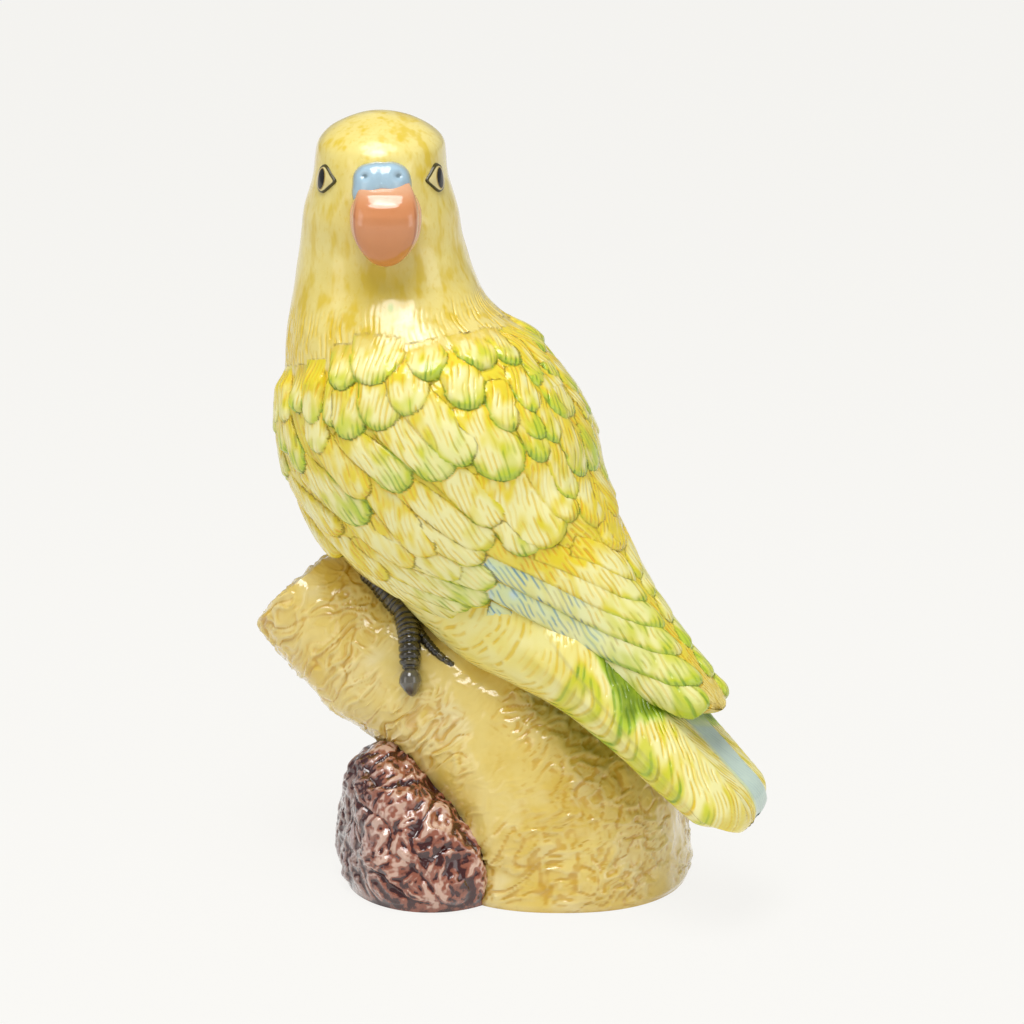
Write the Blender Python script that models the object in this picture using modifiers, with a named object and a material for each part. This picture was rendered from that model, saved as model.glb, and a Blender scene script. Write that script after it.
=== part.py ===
"""A glazed ceramic parakeet perched on a tree stump, with a rock at its foot.

It is one hollow slip casting. Metres, +Z up. The viewer stands at -Y: the tail points
to +X and a little towards the viewer, and the head looks back over the bird's left
shoulder, so that the beak points to -Y.
"""
import math

import bmesh
import bpy
import numpy as np
from mathutils import Vector, noise

# Head, neck and body
CROWN_HEIGHT = 0.2374
HEAD_HALF_WIDTH = 0.0205
HEAD_HALF_DEPTH = 0.0235
NECK_HALF_WIDTH = 0.0274
NECK_HALF_DEPTH = 0.0260
BODY_HALF_WIDTH = 0.0458
BODY_HALF_DEPTH = 0.0360
BODY_TURN = 28.0
RUMP_HALF_DEPTH = 0.0245
WING_TIP_REACH = 0.0622
WING_TIP_HEIGHT = 0.0652

# Tail
TAIL_HALF_WIDTH = 0.0220
TAIL_REACH = 0.0699
TAIL_END_HEIGHT = 0.0323
TAIL_RIDGE = 0.0015
TAIL_RIDGE_PLACE = -0.0090
TAIL_RIDGE_WIDTH = 0.0110
TAIL_FEATHER_STEP = 0.0009
TAIL_NEAR_WIDTH = 0.0120
TAIL_FAR_WIDTH = 0.0195

# Feathers: how far the relief stands out of the body
WING_THICKNESS = 0.0014
BEND_THICKNESS = 0.0022
FEATHER_LIFT = 0.0023
FEATHER_TILT = 0.0009
FEATHER_EDGE = 0.0011
MANTLE_FLATNESS = 0.40

# Face
BEAK_HALF_WIDTH = 0.0100
BEAK_LENGTH = 0.0245
BEAK_TOP = 0.2197
BEAK_OUT = 0.0125
CERE_HALF_WIDTH = 0.0088
CERE_HALF_HEIGHT = 0.0064
CERE_OUT = 0.0050
EYE_HEIGHT = 0.2194
EYE_ANGLE = 33.0
EYE_HALF_WIDTH = 0.0031
EYE_HALF_HEIGHT = 0.0040
EYE_OUT = 0.0012

# Feet
TOE_RADIUS = 0.0031
THIN_TOE_RADIUS = 0.0015
CLAW_RADIUS = 0.0027

# Stump and rock
STUMP_HALF_WIDTH = 0.0410
STUMP_HALF_DEPTH = 0.0455
STUMP_END_REACH = 0.0690
STUMP_END_HEIGHT = 0.0872
ROCK_HALF_WIDTH = 0.0270
ROCK_HALF_DEPTH = 0.0340
ROCK_HEIGHT = 0.0440
BARK_RELIEF = 0.0012
ROCK_RELIEF = 0.0022

# The casting
WALL = 0.0050
VENT_DIAMETER = 0.0160
BELOW_BASE = 0.0040
SURFACE_STEP = 0.0010
CAVITY_STEP = 0.0030
OUTER_TRIANGLES = 10700
CAVITY_TRIANGLES = 700

# Each section is its centre x, y, z, its half width along the length of the bird, the
# rise of that half width, its half depth from side to side, and its turn in degrees.
BODY_SECTIONS = [
    (-0.0406, 0.0118, CROWN_HEIGHT, 0.81 * HEAD_HALF_WIDTH, 0, 0.60 * HEAD_HALF_DEPTH, 0),
    (-0.0407, 0.0114, CROWN_HEIGHT - 0.0084, 0.94 * HEAD_HALF_WIDTH, 0, 0.88 * HEAD_HALF_DEPTH, 0),
    (-0.0410, 0.0110, CROWN_HEIGHT - 0.0189, HEAD_HALF_WIDTH, 0, HEAD_HALF_DEPTH + 0.0006, 0),
    (-0.0409, 0.0104, CROWN_HEIGHT - 0.0299, HEAD_HALF_WIDTH + 0.0030, 0, HEAD_HALF_DEPTH - 0.0004, 0),
    (-0.0406, 0.0106, 0.1970, NECK_HALF_WIDTH - 0.0023, 0.0004, NECK_HALF_DEPTH - 0.0040, 3),
    (-0.0399, 0.0110, 0.1855, NECK_HALF_WIDTH + 0.0006, 0.0015, NECK_HALF_DEPTH - 0.0015, 8),
    (-0.0386, 0.0095, 0.1743, NECK_HALF_WIDTH + 0.0038, 0.0047, NECK_HALF_DEPTH + 0.0040, 16),
    (-0.0330, 0.0062, 0.1611, BODY_HALF_WIDTH - 0.0077, 0.0084, BODY_HALF_DEPTH - 0.0020, 24),
    (-0.0274, 0.0036, 0.1454, BODY_HALF_WIDTH - 0.0016, 0.0108, BODY_HALF_DEPTH, BODY_TURN),
    (-0.0217, 0.0016, 0.1310, BODY_HALF_WIDTH, 0.0125, BODY_HALF_DEPTH, BODY_TURN),
    (-0.0162, -0.0014, 0.1173, BODY_HALF_WIDTH - 0.0028, 0.0143, BODY_HALF_DEPTH - 0.0030, BODY_TURN),
    (-0.0083, -0.0056, 0.1070, 0.0390, 0.0152, RUMP_HALF_DEPTH + 0.0045, BODY_TURN),
    (0.0020, -0.0110, 0.0995, 0.0312, 0.0145, RUMP_HALF_DEPTH, BODY_TURN),
    (0.0126, -0.0167, 0.0930, 0.0236, 0.0130, RUMP_HALF_DEPTH - 0.0040, BODY_TURN),
    (0.0218, -0.0216, 0.0866, 0.0178, 0.0120, RUMP_HALF_DEPTH - 0.0075, BODY_TURN),
    (0.0311, -0.0265, 0.0810, 0.0128, 0.0106, RUMP_HALF_DEPTH - 0.0100, BODY_TURN),
    (0.0405, -0.0315, 0.0756, 0.0086, 0.0085, RUMP_HALF_DEPTH - 0.0125, BODY_TURN),
    (WING_TIP_REACH - 0.0133, -0.0367, WING_TIP_HEIGHT + 0.0058, 0.0052, 0.0062, 0.0100, BODY_TURN),
    (WING_TIP_REACH - 0.0055, -0.0408, WING_TIP_HEIGHT + 0.0022, 0.0028, 0.0038, 0.0085, BODY_TURN),
    (WING_TIP_REACH, -0.0438, WING_TIP_HEIGHT, 0.0012, 0.0018, 0.0070, BODY_TURN),
]

TAIL_SECTIONS = [
    (-0.0200, 0.0000, 0.1080, 0.0200, 0.0120, TAIL_HALF_WIDTH + 0.0020, BODY_TURN),
    (-0.0078, -0.0058, 0.0970, 0.0203, 0.0142, TAIL_HALF_WIDTH + 0.0020, BODY_TURN),
    (0.0045, -0.0124, 0.0845, 0.0170, 0.0127, TAIL_HALF_WIDTH + 0.0016, BODY_TURN),
    (0.0170, -0.0194, 0.0759, 0.0130, 0.0096, TAIL_HALF_WIDTH + 0.0006, BODY_TURN),
    (0.0286, -0.0252, 0.0680, 0.0090, 0.0076, TAIL_HALF_WIDTH, BODY_TURN),
    (0.0411, -0.0318, 0.0576, 0.0063, 0.0060, TAIL_HALF_WIDTH, BODY_TURN),
    (TAIL_REACH - 0.0167, -0.0383, TAIL_END_HEIGHT + 0.0145, 0.0052, 0.0048, TAIL_HALF_WIDTH, BODY_TURN),
    (TAIL_REACH - 0.0073, -0.0435, TAIL_END_HEIGHT + 0.0062, 0.0044, 0.0041, TAIL_HALF_WIDTH - 0.0008, BODY_TURN),
    (TAIL_REACH, -0.0474, TAIL_END_HEIGHT, 0.0038, 0.0034, TAIL_HALF_WIDTH - 0.0030, BODY_TURN),
]

STUMP_SECTIONS = [
    (0.0140, 0.0015, -BELOW_BASE, STUMP_HALF_WIDTH, 0, STUMP_HALF_DEPTH, 0),
    (0.0140, 0.0015, 0.0020, STUMP_HALF_WIDTH, 0, STUMP_HALF_DEPTH, 0),
    (0.0145, 0.0020, 0.0120, STUMP_HALF_WIDTH - 0.0012, 0, STUMP_HALF_DEPTH - 0.0010, 0),
    (0.0115, 0.0020, 0.0300, STUMP_HALF_WIDTH - 0.0030, 0.0040, STUMP_HALF_DEPTH - 0.0035, 0),
    (0.0010, 0.0030, 0.0450, 0.0340, 0.0110, 0.0370, 5),
    (-0.0130, 0.0050, 0.0560, 0.0260, 0.0170, 0.0310, 10),
    (-0.0290, 0.0080, 0.0620, 0.0190, 0.0180, 0.0270, 15),
    (-0.0430, 0.0110, 0.0678, 0.0150, 0.0172, 0.0250, 18),
    (-0.0540, 0.0140, 0.0753, 0.0122, 0.0168, 0.0220, 20),
    (-STUMP_END_REACH + 0.0055, 0.0160, STUMP_END_HEIGHT - 0.0042, 0.0114, 0.0137, 0.0200, 22),
    (-STUMP_END_REACH, 0.0170, STUMP_END_HEIGHT, 0.0104, 0.0118, 0.0185, 22),
]

ROCK_SECTIONS = [
    (-0.0260, -0.0090, -BELOW_BASE, ROCK_HALF_WIDTH, 0, ROCK_HALF_DEPTH, 0),
    (-0.0260, -0.0090, 0.0000, ROCK_HALF_WIDTH, 0, ROCK_HALF_DEPTH, 0),
    (-0.0270, -0.0100, 0.0080, ROCK_HALF_WIDTH + 0.0013, 0, ROCK_HALF_DEPTH, 0),
    (-0.0290, -0.0110, 0.0180, ROCK_HALF_WIDTH - 0.0010, 0, ROCK_HALF_DEPTH - 0.0030, 0),
    (-0.0330, -0.0110, 0.0280, ROCK_HALF_WIDTH - 0.0070, 0, ROCK_HALF_DEPTH - 0.0085, 0),
    (-0.0375, -0.0110, 0.0370, ROCK_HALF_WIDTH - 0.0135, 0, ROCK_HALF_DEPTH - 0.0150, 0),
    (-0.0400, -0.0100, ROCK_HEIGHT, ROCK_HALF_WIDTH - 0.0185, 0, ROCK_HALF_DEPTH - 0.0210, 0),
]

# The wing's short feathers: the angle round the body of each one's tip, from the spine
# down the side, the tip's share of the way along the body, the same two for the root
# where the next row begins, and the half width. The clay goes on under the next row, and
# the plates meet, so each feather is made longer and wider by the two factors.
COVERT_OVERLAP = 1.5
COVERT_FULLNESS = 1.22
COVERTS = [
    (152, 0.406, 155, 0.356, 0.0029), (131, 0.386, 138, 0.341, 0.0029),
    (121, 0.372, 126, 0.321, 0.0033), (111, 0.390, 113, 0.336, 0.0037),
    (102, 0.394, 100, 0.343, 0.0032), (95, 0.350, 96, 0.298, 0.0044), (82, 0.352, 80, 0.293, 0.0069),
    (94, 0.415, 94, 0.351, 0.0053), (82, 0.410, 79, 0.348, 0.0067), (68, 0.397, 69, 0.341, 0.0056),
    (144, 0.459, 152, 0.401, 0.0030), (123, 0.450, 131, 0.386, 0.0036),
    (109, 0.428, 111, 0.376, 0.0044), (141, 0.392, 147, 0.345, 0.0028),
    (164, 0.425, 167, 0.372, 0.0030), (134, 0.425, 141, 0.372, 0.0030),
    (157, 0.470, 163, 0.412, 0.0030), (80, 0.486, 95, 0.409, 0.0049), (63, 0.482, 78, 0.401, 0.0056),
    (53, 0.470, 65, 0.383, 0.0056), (33, 0.445, 32, 0.388, 0.0044), (44, 0.405, 45, 0.351, 0.0053),
    (19, 0.432, 18, 0.378, 0.0040), (40, 0.508, 49, 0.416, 0.0063), (26, 0.500, 27, 0.436, 0.0036),
    (31, 0.358, 32, 0.308, 0.0054), (15, 0.364, 14, 0.313, 0.0040), (8, 0.401, 5, 0.346, 0.0034),
    (16, 0.480, 15, 0.419, 0.0034), (57, 0.356, 58, 0.306, 0.0052), (2, 0.452, 3, 0.388, 0.0042),
    (16, 0.574, 20, 0.484, 0.0042), (51, 0.634, 51, 0.551, 0.0053), (5, 0.545, 9, 0.454, 0.0048),
    (100, 0.518, 123, 0.441, 0.0054), (22, 0.468, 27, 0.414, 0.0036), (53, 0.568, 65, 0.479, 0.0050),
    (37, 0.631, 46, 0.511, 0.0066), (23, 0.604, 30, 0.501, 0.0042), (63, 0.596, 80, 0.496, 0.0047),
    (71, 0.614, 90, 0.514, 0.0044), (84, 0.629, 99, 0.531, 0.0044), (117, 0.687, 124, 0.556, 0.0039),
    (78, 0.656, 100, 0.554, 0.0044), (90, 0.679, 111, 0.564, 0.0042), (103, 0.680, 118, 0.560, 0.0036),
    (95, 0.488, 107, 0.416, 0.0051), (117, 0.528, 145, 0.456, 0.0040), (85, 0.586, 93, 0.471, 0.0053),
    (94, 0.591, 110, 0.499, 0.0045), (8, 0.638, 9, 0.530, 0.0048), (2, 0.698, 3, 0.584, 0.0046),
    (135, 0.560, 152, 0.492, 0.0038), (112, 0.600, 130, 0.510, 0.0042),
]

# The long flight feathers: three or four places along the middle of each, root first,
# as the angle round the body and the share of the way along it, from the spine down.
FLIGHT_LINES = [
    [(26, 0.672), (11, 0.720), (3, 0.764)],
    [(44, 0.659), (31, 0.719), (4, 0.803)],
    [(58, 0.639), (42, 0.749), (6, 0.856)],
    [(70, 0.652), (57, 0.764), (38, 0.842), (10, 0.905)],
    [(84, 0.672), (77, 0.788), (48, 0.905), (16, 0.957)],
    [(99, 0.690), (101, 0.805), (90, 0.920), (52, 0.986)],
]
FLIGHT_HALF_WIDTH = 0.0043
FLIGHT_THICKNESS = 0.0010
FLIGHT_LIFT = 0.0012
WING_EDGE = [(0.330, 140), (0.365, 154), (0.470, 158), (0.510, 150), (0.560, 132), (0.620, 121), (0.700, 116)]

# The path of each toe on the stump: the share of the way along the stump from the base
# and the angle round it, from its upper side down towards the viewer.
BACK_TOE = [(0.885, 14), (0.846, 16), (0.800, 23), (0.762, 29)]
FRONT_TOE = [(0.790, 22), (0.762, 28), (0.719, 46), (0.686, 62), (0.662, 73)]
FRONT_CLAW = [(0.664, 72), (0.640, 81), (0.618, 88)]
THIN_TOE = [(0.740, 32), (0.708, 40), (0.676, 48), (0.640, 54), (0.612, 57)]


def spline(sections, shares):
    """The sections between the given ones, on a smooth curve, at shares of its length."""
    knots = np.array(sections, float)
    steps = np.linalg.norm(np.diff(knots[:, :3], axis=0), axis=1)
    places = np.concatenate([[0], np.cumsum(steps)]) / steps.sum()
    last = len(knots) - 1
    before = np.maximum(np.arange(last + 1) - 1, 0)
    after = np.minimum(np.arange(last + 1) + 1, last)
    slopes = (knots[after] - knots[before]) / (places[after] - places[before])[:, None]
    i = np.clip(np.searchsorted(places, shares, side="right") - 1, 0, last - 1)
    gap = (places[i + 1] - places[i])[:, None]
    s = (shares[:, None] - places[i][:, None]) / gap
    return (
        (2 * s**3 - 3 * s**2 + 1) * knots[i]
        + (s**3 - 2 * s**2 + s) * gap * slopes[i]
        + (3 * s**2 - 2 * s**3) * knots[i + 1]
        + (s**3 - s**2) * gap * slopes[i + 1]
    )


def surface(form, shares, angles, inset=0.0):
    """Points of a form, where shares and angles are arrays of one shape."""
    flat = np.ravel(shares)
    rows = spline(form["sections"], flat)
    cap = np.ones(len(flat))
    for length, from_end in ((form["first_cap"], flat), (form["last_cap"], 1 - flat)):
        if length:
            near = from_end < length
            cap[near] *= np.sqrt(np.clip(1 - (1 - from_end[near] / length) ** 2, 0, 1))
    turn = np.radians(rows[:, 6])
    shrink = np.maximum(1 - inset / np.hypot(rows[:, 3], rows[:, 4]), 0.05)
    along = np.stack([rows[:, 3] * np.cos(turn), -rows[:, 3] * np.sin(turn), rows[:, 4]], 1)
    along *= (cap * shrink)[:, None]
    half_depth = np.maximum(rows[:, 5] - inset, 0.05 * rows[:, 5])
    across = np.stack([np.sin(turn), np.cos(turn), np.zeros(len(flat))], 1)
    across *= (half_depth * cap)[:, None]
    angle = np.radians(np.ravel(angles))
    cosine = np.sign(np.cos(angle)) * np.abs(np.cos(angle)) ** (2 / form["power"])
    sine = np.sign(np.sin(angle)) * np.abs(np.sin(angle)) ** (2 / form["power"])
    points = rows[:, :3] + along * cosine[:, None] + across * sine[:, None]
    return points.reshape(np.shape(shares) + (3,))


def form(sections, power, first_cap=0.0, last_cap=0.0):
    return {
        "sections": sections,
        "power": power,
        "first_cap": first_cap,
        "last_cap": last_cap,
    }


def places_of(rings, spokes, start=0.0, end=1.0):
    """A grid of shares and angles, closer together near the two ends."""
    ease = 0.5 - 0.5 * np.cos(np.linspace(0, math.pi, rings))
    shares = start + (end - start) * (0.5 * ease + 0.5 * np.linspace(0, 1, rings))
    angles = np.linspace(0, 360, spokes, endpoint=False)
    return np.meshgrid(shares, angles, indexing="ij")


def grid(shape, rings, spokes, start=0.0, end=1.0, inset=0.0):
    shares, angles = places_of(rings, spokes, start, end)
    return surface(shape, shares, angles, inset)


def outward(points):
    """The outward normal at each point of a grid of rings."""
    along = np.gradient(points, axis=0)
    around = np.roll(points, -1, axis=1) - np.roll(points, 1, axis=1)
    normals = np.cross(around, along)
    normals /= np.linalg.norm(normals, axis=2, keepdims=True) + 1e-12
    middle = points.mean(axis=1, keepdims=True)
    side = np.sign(np.sum((points - middle) * normals, axis=(1, 2)))
    return normals * side[:, None, None]


def frame_at(shape, share, angle):
    """A point of a form and its outward normal."""
    step = 0.002
    shares = np.array([share, min(share + step, 1), max(share - step, 0), share, share])
    angles = np.array([angle, angle, angle, angle + 1, angle - 1])
    points = surface(shape, shares, angles)
    normal = np.cross(points[1] - points[2], points[3] - points[4])
    normal /= np.linalg.norm(normal)
    middle = surface(shape, np.array([share, share]), np.array([angle, angle + 180])).mean(axis=0)
    return points[0], normal * math.copysign(1, np.dot(points[0] - middle, normal))


def feather(middle, normals, length, half_width, thickness, lift):
    """A feather along a line of points on the body, from its tip to its root."""
    along = np.gradient(middle, axis=0)
    along /= np.linalg.norm(along, axis=1, keepdims=True)
    across = np.cross(normals, along)
    across *= np.sign(across[:, 2:3] + 0.2 * across[:, :1])
    across /= np.linalg.norm(across, axis=1, keepdims=True)
    return {
        "middle": middle,
        "normals": normals,
        "along": along,
        "across": across,
        "length": length,
        "half_width": half_width,
        "thickness": thickness,
        "lift": lift,
    }


def feather_on(body, line, side, samples, half_width, thickness, lift):
    """A feather whose line follows the body from its tip to its root."""
    knots = np.array([(share, side * angle, 0) for angle, share in line])
    places = spline(knots, np.linspace(0, 1, samples))
    frames = [frame_at(body, share, angle) for share, angle, _ in places]
    middle = np.array([place for place, normal in frames])
    normals = np.array([normal for place, normal in frames])
    length = np.linalg.norm(np.diff(middle, axis=0), axis=1).sum()
    return feather(middle, normals, length, half_width, thickness, lift)


def wing_feathers(body, side):
    """The feathers of one wing. The side is -1 for the left wing and 1 for the right."""
    feathers = []
    for tip, tip_share, root, root_share, half_width in COVERTS:
        root = tip + COVERT_OVERLAP * (root - tip)
        root_share = tip_share + COVERT_OVERLAP * (root_share - tip_share)
        thickness = np.interp(tip_share, [0.45, 0.60], [BEND_THICKNESS, WING_THICKNESS])
        line = [(tip, tip_share), (root, root_share)]
        width = COVERT_FULLNESS * half_width
        feathers.append(feather_on(body, line, side, 7, width, thickness, FEATHER_LIFT))
    for line in FLIGHT_LINES:
        thickness = FLIGHT_THICKNESS
        feathers.append(feather_on(body, line[::-1], side, 25, FLIGHT_HALF_WIDTH, thickness, FLIGHT_LIFT))
    return feathers


def over_feather(one, points, normals):
    """The points near a feather, their distance back from its tip and to its side."""
    middle = one["middle"]
    reach = one["length"] + one["half_width"]
    near = np.linalg.norm(points - middle.mean(axis=0), axis=1) < reach
    near = np.flatnonzero(near)
    steps = np.linalg.norm(np.diff(middle, axis=0), axis=1)
    lengths = np.concatenate([[0], np.cumsum(steps)])
    gaps = points[near][:, None] - middle[None]
    nearest = np.argmin(np.einsum("ijk,ijk->ij", gaps, gaps), axis=1)
    offset = points[near] - middle[nearest]
    back = lengths[nearest] + np.einsum("ij,ij->i", offset, one["along"][nearest])
    side = np.einsum("ij,ij->i", offset, one["across"][nearest])
    facing = np.einsum("ij,ij->i", normals[near], one["normals"][nearest]) > 0.1
    keep = facing & (back > -FEATHER_EDGE) & (back < one["length"])
    return near[keep], back[keep], side[keep]


def wing_mass(shares, angles):
    """The body of the folded wing, under its feathers."""
    edge_shares = [place for place, angle in WING_EDGE]
    edge_angles = [angle for place, angle in WING_EDGE]
    reach = np.interp(shares, edge_shares, edge_angles)
    turned = np.abs((angles + 180) % 360 - 180)
    side = np.clip((reach - turned) / 7, 0, 1)
    top = np.clip((shares - WING_EDGE[0][0]) / 0.035, 0, 1)
    end = np.clip((1.0 - shares) / 0.10, 0, 1)
    thickness = np.interp(shares, [0.45, 0.60], [BEND_THICKNESS, WING_THICKNESS])
    return thickness * side * side * (3 - 2 * side) * top * end


def relief(points, normals, feathers, height):
    """How far the feathers raise each point: the highest feather over it counts."""
    height = height.copy()
    for one in feathers:
        near, back, side = over_feather(one, points, normals)
        share = np.clip(back / one["length"], 0, 1)
        tip_length = 1.2 * one["half_width"]
        round_tip = np.sqrt(np.clip(1 - (1 - np.clip(back / tip_length, 0, 1)) ** 2, 0, 1))
        half_width = one["half_width"] * round_tip * (1 - 0.15 * share)
        edge = np.clip((half_width - np.abs(side)) / FEATHER_EDGE, 0, 1)
        edge = edge * edge * (3 - 2 * edge)
        slant = np.clip(-side / one["half_width"], -1, 1)
        fade = np.clip((1 - share) / 0.35, 0, 1)
        top = one["thickness"] + one["lift"] * (1 - share) + FEATHER_TILT * slant * fade
        height[near] = np.maximum(height[near], top * edge)
    return height


def lumps(points, scale, depth, detail=2):
    """Soft uneven lumps, as modelled by hand."""
    values = [noise.fractal(Vector(p) / scale, 1.0, 2.0, detail) for p in points]
    return depth * np.array(values)


def skin(rings, closed_ends=True):
    """Points and faces of a tube of rings, with a fan over each end."""
    count, spokes = rings.shape[:2]
    points = [tuple(p) for p in rings.reshape(-1, 3)]
    faces = []
    for i in range(count - 1):
        for j in range(spokes):
            k = (j + 1) % spokes
            faces.append((i * spokes + j, i * spokes + k, (i + 1) * spokes + k, (i + 1) * spokes + j))
    if closed_ends:
        for ring, order in ((0, -1), (count - 1, 1)):
            middle = len(points)
            points.append(tuple(rings[ring].mean(axis=0)))
            for j in range(spokes):
                pair = (ring * spokes + j, ring * spokes + (j + 1) % spokes)
                faces.append((middle,) + pair[::order])
    return points, faces


def add_shape(work, rings):
    """Adds one closed form to a bmesh, with its faces pointing out."""
    points, faces = skin(rings)
    corners = [work.verts.new(p) for p in points]
    made = [work.faces.new([corners[i] for i in face]) for face in faces]
    bmesh.ops.recalc_face_normals(work, faces=made)


def add_ellipsoid(work, centre, axes):
    """Adds a ball stretched along three axes, given as vectors of its half sizes."""
    ball = bmesh.ops.create_uvsphere(work, u_segments=32, v_segments=20, radius=1)
    for corner in ball["verts"]:
        x, y, z = corner.co
        corner.co = Vector(centre) + Vector(axes[0]) * x + Vector(axes[1]) * y + Vector(axes[2]) * z


def add_body(work, body):
    shares, angles = places_of(260, 240)
    points = surface(body, shares, angles)
    normals = outward(points)
    feathers = wing_feathers(body, -1) + wing_feathers(body, 1)
    mass = wing_mass(shares, angles).ravel()
    height = relief(points.reshape(-1, 3), normals.reshape(-1, 3), feathers, mass).reshape(shares.shape)
    from_spine = np.abs((angles + 180) % 360 - 180)
    mantle = np.interp(from_spine, [0, 50], [MANTLE_FLATNESS, 1])
    height *= np.interp(shares, [0.65, 0.80], [1, 0]) * (mantle - 1) + 1
    add_shape(work, points + normals * height[..., None])


def add_tail(work, tail):
    """The tail: two broad feathers that meet in a ridge, over a narrow one on each side."""
    shares, angles = places_of(90, 160)
    points = surface(tail, shares, angles)
    normals = outward(points)
    across = TAIL_HALF_WIDTH * np.sin(np.radians(angles)) - TAIL_RIDGE_PLACE
    inner_width = np.where(across < 0, TAIL_NEAR_WIDTH, TAIL_FAR_WIDTH)
    inner = np.clip((inner_width - np.abs(across)) / FEATHER_EDGE, 0, 1)
    above = (np.cos(np.radians(angles)) > 0) * np.clip((shares - 0.4) / 0.15, 0, 1)
    ridge = np.clip(1 - np.abs(across) / TAIL_RIDGE_WIDTH, 0, 1)
    height = TAIL_FEATHER_STEP * inner + TAIL_RIDGE * ridge
    add_shape(work, points + normals * (height * above)[..., None])


def add_stump(work, stump):
    points = grid(stump, 110, 120)
    normals = outward(points)
    flat = points.reshape(-1, 3)
    height = lumps(flat, 0.011, BARK_RELIEF, 2).reshape(points.shape[:2])
    add_shape(work, points + normals * height[..., None])


def add_rock(work, rock):
    points = grid(rock, 70, 100)
    normals = outward(points)
    flat = points.reshape(-1, 3)
    height = lumps(flat, 0.013, ROCK_RELIEF, 2).reshape(points.shape[:2])
    add_shape(work, points + normals * height[..., None])


def head_centre(height):
    """The middle of the head at a height."""
    shares = np.linspace(0, 0.3, 61)
    rows = spline(BODY_SECTIONS, shares)
    return [np.interp(-height, -rows[:, 2], rows[:, i]) for i in range(6)]


def add_beak(work):
    """The beak is a hooked egg: each level's half width, front and back, from the top."""
    levels = [
        (0.00, 0.55, 0.10), (0.06, 0.74, 0.42), (0.18, 0.94, 0.72), (0.32, 1.00, 0.94), (0.48, 0.98, 1.00),
        (0.64, 0.86, 0.98), (0.80, 0.62, 0.84), (0.92, 0.38, 0.62), (0.98, 0.20, 0.44), (1.00, 0.06, 0.30),
    ]
    x, y, z, half_width, rise, half_depth = head_centre(BEAK_TOP)
    face = y - half_depth
    rings = []
    for share, width, out in levels:
        angle = np.linspace(0, 2 * math.pi, 40, endpoint=False)
        front = face - BEAK_OUT * out
        back = face + 0.004 * (1 - share)
        middle = 0.5 * (front + back)
        reach = 0.5 * (back - front)
        ring = np.stack([
            x + 0.0022 + BEAK_HALF_WIDTH * width * np.cos(angle),
            middle + reach * np.sin(angle),
            np.full(len(angle), BEAK_TOP - BEAK_LENGTH * share),
        ], 1)
        rings.append(ring)
    add_shape(work, np.array(rings))


def add_cere(work):
    """The bare skin over the beak, a saddle of two lobes."""
    height = BEAK_TOP + 0.0030
    x, y, z, half_width, rise, half_depth = head_centre(height)
    face = y - half_depth
    for side in (-1, 1):
        centre = (x + 0.0010 + side * 0.42 * CERE_HALF_WIDTH, face + 0.0004, height - 0.0004)
        axes = ((0.60 * CERE_HALF_WIDTH, 0, 0), (0, CERE_OUT * 0.86, 0), (0, 0, CERE_HALF_HEIGHT))
        add_ellipsoid(work, centre, axes)
    centre = (x + 0.0010, face, height + 0.0012)
    axes = ((0.62 * CERE_HALF_WIDTH, 0, 0), (0, CERE_OUT, 0), (0, 0, CERE_HALF_HEIGHT * 0.80))
    add_ellipsoid(work, centre, axes)


def add_eyes(work, body):
    """Each eye is a low lens on the side of the face."""
    shares = np.linspace(0, 0.3, 301)
    heights = spline(BODY_SECTIONS, shares)[:, 2]
    share = float(np.interp(-EYE_HEIGHT, -heights, shares))
    for angle in (-EYE_ANGLE, -(180 - EYE_ANGLE)):
        place, normal = frame_at(body, share, angle)
        up = np.array([0, 0, 1.0])
        up = up - normal * np.dot(up, normal)
        up /= np.linalg.norm(up)
        side = np.cross(up, normal)
        axes = (side * EYE_HALF_WIDTH, up * EYE_HALF_HEIGHT, normal * EYE_OUT)
        add_ellipsoid(work, place, axes)


def add_toe(work, stump, path, side, radii, lift=0.35):
    """A round toe that lies on the stump along a path."""
    places = []
    normals = []
    for share, angle in path:
        place, normal = frame_at(stump, share, side * angle)
        places.append(place)
        normals.append(normal)
    knots = np.concatenate([np.array(places), np.array(normals)], 1)
    rows = spline(knots, np.linspace(0, 1, 24))
    widths = np.interp(np.linspace(0, 1, 24), np.linspace(0, 1, len(radii)), radii)
    along = np.gradient(rows[:, :3], axis=0)
    along /= np.linalg.norm(along, axis=1, keepdims=True)
    normals = rows[:, 3:] / np.linalg.norm(rows[:, 3:], axis=1, keepdims=True)
    across = np.cross(along, normals)
    angle = np.linspace(0, 2 * math.pi, 20, endpoint=False)
    centres = rows[:, :3] + normals * (widths * lift)[:, None]
    rings = (
        centres[:, None]
        + across[:, None] * np.cos(angle)[None, :, None] * widths[:, None, None]
        + normals[:, None] * np.sin(angle)[None, :, None] * widths[:, None, None]
    )
    add_shape(work, rings)


def add_foot(work, stump, side):
    add_toe(work, stump, BACK_TOE, side, [0.8 * TOE_RADIUS, TOE_RADIUS, TOE_RADIUS])
    add_toe(work, stump, FRONT_TOE, side, [TOE_RADIUS, 1.1 * TOE_RADIUS, TOE_RADIUS])
    add_toe(work, stump, FRONT_CLAW, side, [CLAW_RADIUS, 1.05 * CLAW_RADIUS, 0.25 * CLAW_RADIUS], 0.5)
    add_toe(work, stump, THIN_TOE, side, [THIN_TOE_RADIUS, THIN_TOE_RADIUS, 0.7 * THIN_TOE_RADIUS])


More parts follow.
